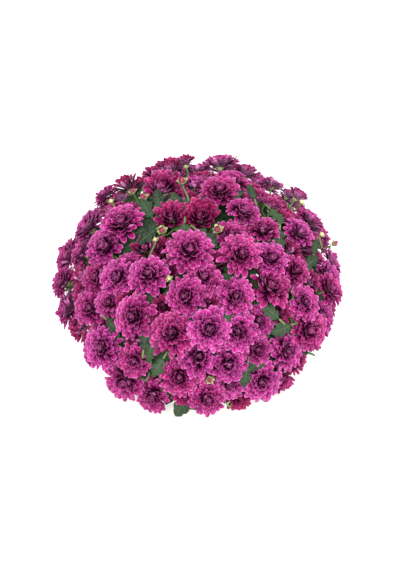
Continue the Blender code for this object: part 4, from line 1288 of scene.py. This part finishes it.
def turned_shape(profile, sides):
    """Points and triangles of a solid of revolution whose profile starts and ends on the axis."""
    turn = 2 * math.pi * np.arange(sides) / sides
    inner = np.array(profile[1:-1])
    rings = np.stack([inner[:, :1] * np.cos(turn), inner[:, :1] * np.sin(turn),
                      np.repeat(inner[:, 1:], sides, axis=1)], axis=-1)
    ends = np.array([(0, 0, profile[0][1]), (0, 0, profile[-1][1])])
    points = np.concatenate([ends[:1], rings.reshape(-1, 3), ends[1:]])
    return points, spindle_faces(len(inner), sides)[:, ::-1]


def add_bud(piece, tips, one, draw):
    """A closed bud: folded petals, cream or wine red, over a green cup."""
    up, at, radius = one["up"], one["at"], one["radius"]
    look = CREAM_LOOK if one["number"] in CREAM_BUDS else WINE_LOOK
    add_scales(tips, at, up, radius, BUD_SCALES, look, draw)
    foot = at + up * radius * BUD_CUP_RISE
    add_scales(piece, foot, up, radius * BUD_CUP_SIZE, CUP_SCALES, CUP_LOOK, draw)


def noise_at(points, scale, seed):
    """Smooth noise of about -1 to 1 at some points."""
    shift = Vector([seed * part for part in NOISE_SHIFT])
    return np.array([noise.noise(Vector(p) * scale + shift) for p in points])


def build_blooms(found, groups, surface):
    """A piece for each node of blooms, in the place of its solid."""
    planes = pressing_planes(found)
    for k, group in enumerate(groups):
        piece = Piece()
        for i in group:
            kind = "young" if i in YOUNG else "half" if i in CUPPED else found[i]["kind"]
            growth = BLOOM_GROWTH if i < len(SHOWN_BLOOMS) else UNDER_GROWTH
            draw = np.random.default_rng(SEED * BLOOM_SEEDS + i)
            add_bloom(piece, found[i], kind, growth, planes[i], draw, TURNED.get(i, 0),
                      PALE_SHARE if i in PALE else CURLED_SHARE)
        node = f"blooms_{k + 1:02d}"
        piece.finish(f"petals_{k + 1:02d}", surface, "petals", [node])


def add_limb(piece, tips, one, found, draw):
    """A stalk and what it carries: the cup of a bloom, a bud or a leaf."""
    route, inner = one["route"], one.get("inner", False)
    radii = [STALK_RADIUS * share for share in STALK_SWELL]
    add_tube(piece, route, radii, INNER_DRAWN if inner else STALK_DRAWN,
             (STALK_TINT, draw.uniform(), 0))
    if one["kind"] == "stalk":
        bloom = found[one["bloom"]]
        size = CUP_SHARE * bloom["radius"] + CUP_SPARE
        top = route[-1] + bloom["facing"] * size * CUP_LIFT
        add_scales(piece, top, bloom["facing"], size, CUP_SCALES, CUP_LOOK, draw)
    elif one["kind"] == "bud":
        add_bud(piece, tips, one, draw)
    else:
        at, normal = route[-1], one["normal"]
        along = at - route[-2]
        along = unit(along - normal * (along @ normal))
        section = PLAIN_LEAF_SECTION if inner else LEAF_SECTION
        add_leaf(piece, at, along, normal, one["length"], section, draw)


def build_foliage(found, limbs, green, bud_petals):
    """A piece for each main stem with all it carries, and the tips of its buds."""
    for k in range(SECTORS + 1):
        draw = np.random.default_rng(SEED * STEM_SEEDS + k)
        piece, tips = Piece(), Piece()
        add_tube(piece, stem_route(k), (STEM_RADIUS, STEM_RADIUS * STEM_TAPER), STEM_DRAWN,
                 (WOOD_TINT, STEM_SHADE, 0))
        for one in limbs:
            if one["k"] == k:
                add_limb(piece, tips, one, found, draw)
        stem = "middle" if k == SECTORS else k + 1
        piece.finish(f"foliage_{stem}", green, "foliage", [f"leafy_stem_{stem}"])
        if tips.count:
            tips.finish(f"bud_tips_{stem}", bud_petals, "petals")


def set_fine_leaf(limbs, joints, blooms, tries, inner):
    """Adds the first of some ways to set a leaf in which it crosses no bloom, leaf or bud.

    A way has the blade's base, its direction, its normal, its length and the last rise of its
    stalk to the neck, or None for a stalk without one.
    """
    leaves = [one for one in limbs if one["kind"] != "stalk"]
    for base, way, normal, length, rise in tries:
        neck = base - way * LEAF_NECK
        blade = limb(None, leaf([neck, base], normal, length))
        if blooms.overlap(blade["tree"]) or crosses(leaves, blade, True):
            continue
        k = stem_for(base)
        root = roots_for(neck, joints[k])[0]
        bends = [neck] if rise is None else [neck - rise, neck]
        route = [root, (root + bends[0]) / 2, *bends, base]
        limbs.append(dict(blade, k=k, kind="leaf", inner=inner, normal=normal, length=length,
                          route=route))
        return


def inner_leaf_tries(spot, draw):
    """A leaf under a spot of the dome, turned and sunk deeper until it fits."""
    inward = -outward(spot)
    normal = unit(UP * draw.uniform(*INNER_LIFTS) - inward)
    sink = draw.uniform(*INNER_SINKS)
    length = draw.uniform(*INNER_LENGTHS)
    first = draw.uniform(0, 2 * math.pi)
    side = unit(np.cross(normal, INNER_AID))
    other = np.cross(normal, side)
    for deeper in INNER_DEEPER:
        for turn in first + np.arange(INNER_TURNS) * 2 * math.pi / INNER_TURNS:
            way = unit(side * math.cos(turn) + other * math.sin(turn))
            base = spot + inward * (sink + deeper) - way * length * LEAF_BEHIND
            yield base, way, normal, length, None


def place_inner_leaves(limbs, joints, blooms, spots, seed, nearest):
    """More leaves on the same stems, deep under the blooms, that close the view through the dome.

    Each spot of a golden spiral gets one where it fits, apart from spots that lie in front of the
    nearest place.
    """
    draw = random.Random(seed)
    for spot in spiral_spots(spots):
        if spot[1] >= nearest:
            set_fine_leaf(limbs, joints, blooms, inner_leaf_tries(spot, draw), True)


def gap_leaf_tries(px, py, size, turn, lean):
    """A leaf in a gap between blooms, sunk deeper, swung and made shorter until it fits."""
    spot = seat_under(px, py)
    facing = unit(outward(spot) + VIEW_BACK * GAP_TURNED)
    right = unit(np.cross(VIEW_UP, VIEW_BACK))
    aim = right * math.cos(math.radians(turn)) + VIEW_UP * math.sin(math.radians(turn))
    for part in LEAF_SIZES:
        for sink in GAP_SINKS:
            for swing in GAP_SWINGS:
                swung = math.radians(swing)
                way = unit(aim - facing * (aim @ facing))
                way = way * math.cos(swung) + np.cross(facing, way) * math.sin(swung)
                normal = unit(facing - way * lean)
                way = unit(way + facing * lean)
                length = size / 1000 * part
                base = spot - facing * sink - way * length * GAP_BEHIND
                yield base, way, normal, length, facing * GAP_RISE


def place_gap_leaves(limbs, joints, blooms):
    """Small leaves that show between the crown's blooms, each as high as it can be set."""
    for spec in GAP_LEAVES:
        set_fine_leaf(limbs, joints, blooms, gap_leaf_tries(*spec), False)


def link(tree, value, socket):
    """Joins a node's output to an input, or sets the input's own value or the colour it names."""
    if isinstance(value, bpy.types.NodeSocket):
        tree.links.new(value, socket)
    elif value in COLOURS:
        socket.default_value = (*srgb(*COLOURS[value]), 1)
    else:
        socket.default_value = value


def node(tree, kind, inputs=(), **settings):
    """Adds a shader node with its inputs, by place or name, and returns it."""
    made = tree.nodes.new("ShaderNode" + kind)
    for key, value in settings.items():
        setattr(made, key, value)
    for key, value in dict(inputs).items():
        link(tree, value, made.inputs[key])
    return made


def maths(tree, operation, *values):
    """Works out numbers, each from a node or plain."""
    return node(tree, "Math", enumerate(values), operation=operation).outputs[0]


def times(tree, value, share):
    """A product."""
    return maths(tree, "MULTIPLY", value, share)


def fade(tree, value, low, high, start=0.0, end=1.0):
    """A smooth step from start to end as the value goes from low to high."""
    made = node(tree, "MapRange", {"Value": value, "From Min": low, "From Max": high,
                                   "To Min": start, "To Max": end}, interpolation_type="SMOOTHSTEP")
    return made.outputs["Result"]


def blend(tree, share, low, high, how="MIX"):
    """Mixes two colours, each from a node or named."""
    made = tree.nodes.new("ShaderNodeMix")
    made.data_type = "RGBA"
    made.blend_type = how
    for socket, value in ((made.inputs[0], share), (made.inputs[6], low), (made.inputs[7], high)):
        link(tree, value, socket)
    return made.outputs[2]


def painted(tree, colour, *coats):
    """A colour with others laid over it, each where its share says."""
    for share, over in coats:
        colour = blend(tree, share, colour, over)
    return colour


def value_of(tree, title):
    """The three parts of an attribute kept on a piece's points."""
    kept = node(tree, "Attribute", attribute_name=title)
    return node(tree, "SeparateXYZ", {0: kept.outputs["Vector"]}).outputs


def new_material(name, **uniform):
    """A material and its tree and shader, with the values that are the same all over."""
    made = bpy.data.materials.new(name)
    made.use_nodes = True
    shader = made.node_tree.nodes["Principled BSDF"]
    for key, value in uniform.items():
        shader.inputs[key.replace("_", " ")].default_value = value
    return made, made.node_tree, shader


def in_place(tree):
    """The place on the object, in its own metres."""
    return node(tree, "TexCoord").outputs["Object"]


def rough_noise(tree, vector, scale, detail=3.0, roughness=0.55):
    """Cloudy noise from 0 to 1, mostly near the middle."""
    return node(tree, "TexNoise", {"Vector": vector, "Scale": scale, "Detail": detail,
                                   "Roughness": roughness}).outputs["Fac"]


def dress(tree, shader, colour, height, strength, distance, rough=None):
    """Gives a shader its colour and bumps, and its roughness where that differs over the surface."""
    made = node(tree, "Bump", {"Height": height, "Strength": strength, "Distance": distance})
    tree.links.new(made.outputs[0], shader.inputs["Normal"])
    tree.links.new(colour, shader.inputs["Base Color"])
    if rough:
        tree.links.new(rough, shader.inputs["Roughness"])


def srgb(red, green, blue):
    """A colour given as the eye sees it, from 0 to 255, for a shader."""
    return tuple((c / 255 / 12.92 if c < 10.3 else ((c / 255 + 0.055) / 1.055) ** 2.4)
                 for c in (red, green, blue))


def petal_material():
    """Magenta petals: painted shade, near black, at each root where the next turn of petals lies over
    it, dark wine red in the bloom's middle, and a paler tip and edge that is partly the petals' own
    pale edge and partly painted highlight.
    """
    made, tree, shader = new_material("petal_magenta", Roughness=0.38, Specular_IOR_Level=0.08)
    along, across, under = value_of(tree, "place")
    depth, petal, tone = value_of(tree, "look")
    streak_at = node(tree, "CombineXYZ", enumerate((
        times(tree, along, 1.6), times(tree, across, 5.0), times(tree, petal, 37.0)))).outputs[0]
    streak = rough_noise(tree, streak_at, 1.6)
    # Painted shade at the root, where the next turn of petals overlaps the petal, reaches further out
    # on an inner petal
    root = fade(tree, maths(tree, "SUBTRACT", along, times(tree, depth, 0.16)), 0.50, 0.80, 0.98, 0.0)
    middle = fade(tree, depth, 0.64, 0.80, 0.0, 0.72)
    side = maths(tree, "ABSOLUTE", across)
    # A paler edge and tip on the outer half of each petal: partly the petals' own pale edge, partly
    # painted highlight where edges and tips catch the light
    edge = maths(tree, "MAXIMUM", fade(tree, side, 0.66, 1.0), fade(tree, along, 0.86, 1.0))
    rim = times(tree, edge, fade(tree, along, 0.5, 0.9, 0.0, 0.9))
    back = times(tree, under, fade(tree, depth, 0.2, 0.6, 0.8, 0.1))
    colour = painted(tree, blend(tree, tone, "petal", "wine petal"), (root, "painted root shade"),
                     (middle, "bloom middle"),
                     (rim, blend(tree, tone, "magenta edge with painted highlight", "wine edge with painted highlight")),
                     (back, "petal back"))
    light = times(tree, fade(tree, streak, 0.25, 0.75, 0.78, 1.14),
                  fade(tree, petal, 0.0, 1.0, 0.68, 1.17))
    shade = node(tree, "CombineXYZ", enumerate((light, light, light))).outputs[0]
    dress(tree, shader, blend(tree, 1.0, colour, shade, "MULTIPLY"), streak, 0.35, 0.0004)
    return made


def bud_material():
    """Folded petals of the buds, cream or wine red."""
    made, tree, shader = new_material("bud_petals", Roughness=0.5, Specular_IOR_Level=0.3)
    along, across, _ = value_of(tree, "place")
    _, petal, tone = value_of(tree, "look")
    rim = fade(tree, maths(tree, "ABSOLUTE", across), 0.4, 1.0, 0.0, 0.35)
    colour = painted(tree, blend(tree, petal, "wine bud", "pale wine bud"),
                     (fade(tree, tone, 1.2, 1.8), blend(tree, petal, "cream bud", "pale cream bud")),
                     (rim, "bud edge"), (fade(tree, along, 0.1, 0.5, 0.4, 0.0), "bud root"))
    dress(tree, shader, colour, rough_noise(tree, in_place(tree), 2500.0), 0.3, 0.0002)
    return made


def foliage_material():
    """Leaves with paler veins and undersides, green stalks, pale cups and woody stems."""
    made, tree, shader = new_material("foliage_green", Specular_IOR_Level=0.3)
    along, across, under = value_of(tree, "place")
    tint, shade, _ = value_of(tree, "look")
    where = in_place(tree)
    mottle = rough_noise(tree, where, 160.0, 4.0)
    fine = rough_noise(tree, where, 1400.0, 3.0)
    side = maths(tree, "ABSOLUTE", across)
    # The side veins leave the rib at even steps
    step = maths(tree, "FRACT", times(tree, along, float(VEIN_PAIRS)))
    saw = maths(tree, "ABSOLUTE", maths(tree, "SUBTRACT", step, 0.5))
    lateral = times(tree, fade(tree, saw, 0.40, 0.5), fade(tree, side, 0.55, 1.0, 1.0, 0.0))
    vein = maths(tree, "MAXIMUM", fade(tree, side, 0.03, 0.11, 1.0, 0.0), lateral)
    leaf_colour = painted(tree, blend(tree, shade, "dark leaf", "leaf"),
                          (fade(tree, mottle, 0.35, 0.7, 0.0, 0.55), "leaf mottle"),
                          (times(tree, vein, 0.4), "vein"), (times(tree, under, 0.6), "leaf back"))
    colour = painted(tree, leaf_colour,
                     (fade(tree, tint, 0.1, 0.2), blend(tree, shade, "stalk", "pale stalk")),
                     (fade(tree, tint, 0.35, 0.45), blend(tree, along, "bract", "bract tip")),
                     (fade(tree, tint, 0.75, 0.9),
                      blend(tree, fade(tree, mottle, 0.3, 0.7), "wood", "pale wood")))
    height = maths(tree, "ADD", times(tree, vein, -0.5), times(tree, fine, 0.5))
    dress(tree, shader, colour, height, 0.5, 0.0005, fade(tree, fine, 0.2, 0.8, 0.5, 0.68))
    return made


def soil_material():
    """Dark peaty soil with paler flecks."""
    made, tree, shader = new_material("potting_soil", Specular_IOR_Level=0.15)
    where = in_place(tree)
    clods = rough_noise(tree, where, 220.0, 6.0, 0.7)
    flecks = node(tree, "TexVoronoi", {"Vector": where, "Scale": 420.0}).outputs["Distance"]
    colour = painted(tree, blend(tree, fade(tree, clods, 0.3, 0.7), "moist soil", "dry soil"),
                     (fade(tree, flecks, 0.05, 0.16, 0.5, 0.0), "soil fleck"))
    dress(tree, shader, colour, clods, 0.9, 0.0015, fade(tree, clods, 0.2, 0.8, 0.95, 0.8))
    return made


def pot_material():
    """Cream moulded plastic with a fine satin grain and a little dust near the base."""
    made, tree, shader = new_material("pot_plastic", Specular_IOR_Level=0.4)
    where = in_place(tree)
    grain = rough_noise(tree, where, 1800.0, 2.0)
    cloud = rough_noise(tree, where, 26.0, 4.0)
    height = node(tree, "SeparateXYZ", {0: where}).outputs[2]
    dust = times(tree, fade(tree, height, 0.0, 0.035, 0.5, 0.0), fade(tree, cloud, 0.4, 0.7))
    colour = painted(tree, blend(tree, fade(tree, cloud, 0.3, 0.7), "pot", "pale pot"), (dust, "dust"))
    dress(tree, shader, colour, grain, 0.15, 0.0002, fade(tree, grain, 0.2, 0.8, 0.34, 0.5))
    return made


def wall_at(height):
    """The pot's outer radius below its rim band."""
    return POT_BASE_RADIUS + (POT_TOP_RADIUS - RIM_STEP - POT_BASE_RADIUS) * height / POT_HEIGHT


def rounded(profile, radius, steps=CORNER_STEPS):
    """A profile with its corners rounded, apart from its two ends, as points."""
    points = [np.array(p, float) for p in profile]
    made = [points[0]]
    for before, corner, after in zip(points, points[1:], points[2:]):
        back, ahead = before - corner, after - corner
        reach_back = min(radius, np.linalg.norm(back) * LONGEST_CORNER)
        reach_ahead = min(radius, np.linalg.norm(ahead) * LONGEST_CORNER)
        start, end = corner + unit(back) * reach_back, corner + unit(ahead) * reach_ahead
        for t in np.arange(steps + 1) / steps:
            made.append((1 - t) ** 2 * start + 2 * t * (1 - t) * corner + t ** 2 * end)
    return [tuple(p) for p in made] + [tuple(points[-1])]


def build_pot(surface):
    """A plain moulded pot with a rim band, a rolled lip and a slightly raised base."""
    band = POT_HEIGHT - RIM_BAND
    inside = wall_at(POT_HEIGHT) - POT_WALL
    profile = [(0, BASE_RISE), (POT_BASE_RADIUS - FOOT_ENDS, BASE_RISE),
               (POT_BASE_RADIUS - FOOT_STARTS, 0), (POT_BASE_RADIUS, 0), (wall_at(band), band),
               (POT_TOP_RADIUS - BAND_INSET, band + BAND_SLOPE),
               (POT_TOP_RADIUS - LIP_INSET, POT_HEIGHT - LIP_STARTS),
               (POT_TOP_RADIUS, POT_HEIGHT - LIP_FULL), (POT_TOP_RADIUS, POT_HEIGHT),
               (inside, POT_HEIGHT), (wall_at(POT_FLOOR) - POT_WALL, POT_FLOOR), (0, POT_FLOOR)]
    piece = Piece()
    piece.add(*turned_shape(rounded(profile, CORNER_ROUND), POT_SIDES))
    piece.finish("pot_shell", surface, "pot", ["pot"], POT_SHARP)


def soil_height(share):
    """How high the soil's mound is at a share of the way from its middle to its edge."""
    return SOIL_EDGE + (SOIL_CROWN - SOIL_EDGE) * (1 - share ** 2)


def build_soil(surface):
    """Crumbly soil, mounded a little, that fills the pot to just under its rim."""
    inside = POT_WALL + CLEAR
    edge = wall_at(SOIL_EDGE) - inside
    profile = [(0, POT_FLOOR + CLEAR), (wall_at(POT_FLOOR) - inside, POT_FLOOR + CLEAR)]
    for share in np.linspace(1, 0, SOIL_RINGS):
        profile.append((max(edge * share, AXIS_GAP), soil_height(share)))
    profile[-1] = (0, SOIL_CROWN)
    points, faces = turned_shape(profile, SOIL_SIDES)
    top = points[:, 2] > SOIL_EDGE - TOP_SPARE
    wide = np.hypot(points[:, 0], points[:, 1])
    rough = sum(noise_at(points[top], scale, seed) * high for scale, seed, high in SOIL_ROUGHNESS)
    points[top, 2] += rough * np.minimum(1, (edge - wide[top]) / SOIL_FADE)
    piece = Piece()
    piece.add(points, faces)
    draw = np.random.default_rng(SEED)
    ball, ball_faces = turned_shape(CRUMB_PROFILE, CRUMB_SIDES)
    for _ in range(CRUMBS):
        size = draw.uniform(*CRUMB_SIZES)
        away, turn = (edge - CRUMB_GAP) * math.sqrt(draw.uniform()), draw.uniform(0, ANY_TURN)
        height = soil_height(away / edge) + size * CRUMB_RISE
        centre = np.array([away * math.cos(turn), away * math.sin(turn), height])
        stretch = draw.uniform(*CRUMB_STRETCH, 3)
        lump = ball * size * stretch * (1 + draw.normal(0, CRUMB_STRAY, ball.shape))
        piece.add(centre + lump, ball_faces)
    piece.finish("soil_crumbs", surface, "soil", ["soil"], SOIL_SHARP)


def add_object(name, data):
    """An object of the scene that holds some data."""
    made = bpy.data.objects.new(name, data)
    bpy.context.scene.collection.objects.link(made)
    return made


def floor_material():
    """Nearly white, with a faint glow."""
    made, tree, shader = new_material("floor_white", Roughness=0.9, Specular_IOR_Level=0.1)
    grain = rough_noise(tree, in_place(tree), 3.0)
    tree.links.new(blend(tree, grain, "floor", "pale floor"), shader.inputs["Base Color"])
    shader.inputs["Emission Color"].default_value = (1, 1, 1, 1)
    shader.inputs["Emission Strength"].default_value = FLOOR_GLOW
    return made


def build_floor(surface):
    """A plain pale floor."""
    mesh = bpy.data.meshes.new("floor")
    corners = [(x * FLOOR_REACH, y * FLOOR_REACH, 0) for x, y in FLOOR_CORNERS]
    mesh.from_pydata(corners, [], [range(len(corners))])
    mesh.materials.append(surface)
    floor = add_object("floor", mesh)


def build_lights():
    """Soft light from above, from both sides and from all round."""
    for name, place, size, power in LIGHTS:
        lamp = bpy.data.lights.new(name, "AREA")
        lamp.size = size
        lamp.energy = power
        made = add_object(name, lamp)
        made.location = place
        made.rotation_mode = "QUATERNION"
        made.rotation_quaternion = (Vector(place) - Vector(MIDDLE)).to_track_quat("Z", "Y")
    world = bpy.data.worlds.new("studio")
    bpy.context.scene.world = world
    world.use_nodes = True
    sky = world.node_tree.nodes["Background"].inputs
    sky["Color"].default_value = (1, 1, 1, 1)
    sky["Strength"].default_value = WORLD_LIGHT
    bpy.context.scene.view_settings.view_transform = "Standard"


def build_camera():
    """The photograph's view: its angle, its distance and the middle of its frame."""
    camera = bpy.data.cameras.new("view")
    camera.sensor_fit = "VERTICAL"
    camera.sensor_height = SENSOR
    camera.lens = SENSOR * VIEW_DISTANCE / (FRAME_HEIGHT * PIXEL) * VIEW_ZOOM
    camera.shift_x = (FRAME_WIDTH / 2 - MIDDLE_PX) / FRAME_HEIGHT
    camera.shift_y = (MIDDLE_PY - FRAME_HEIGHT / 2) / FRAME_HEIGHT
    eye = add_object("view", camera)
    turn = Matrix((Vector((1, 0, 0)), Vector(VIEW_UP), Vector(VIEW_BACK))).transposed()
    eye.matrix_world = Matrix.Translation(Vector(EYE)) @ turn.to_4x4()
    bpy.context.scene.camera = eye


def build_plant():
    """The blooms, stems, leaves and buds, laid out as in the frame and then drawn finer."""
    found, groups, drawn = bloom_layout()
    blooms = solid_tree(drawn)
    limbs, joints = [], {}
    for k in range(SECTORS + 1):
        joints[k] = joints_along(stem_route(k), *STEM_FORKS)
    place_stalks(found, drawn, blooms, limbs, joints)
    place_buds(found, blooms, limbs, joints)
    place_leaves(limbs, joints, blooms, found)
    place_gap_leaves(limbs, joints, blooms)
    place_inner_leaves(limbs, joints, blooms, INNER_LEAVES, SEED + 2, -1)
    place_inner_leaves(limbs, joints, blooms, BACK_LEAVES, SEED + 3, 0)
    build_blooms(found, groups, petal_material())
    build_foliage(found, limbs, foliage_material(), bud_material())


build_pot(pot_material())
build_soil(soil_material())
build_plant()
build_floor(floor_material())
build_lights()
build_camera()
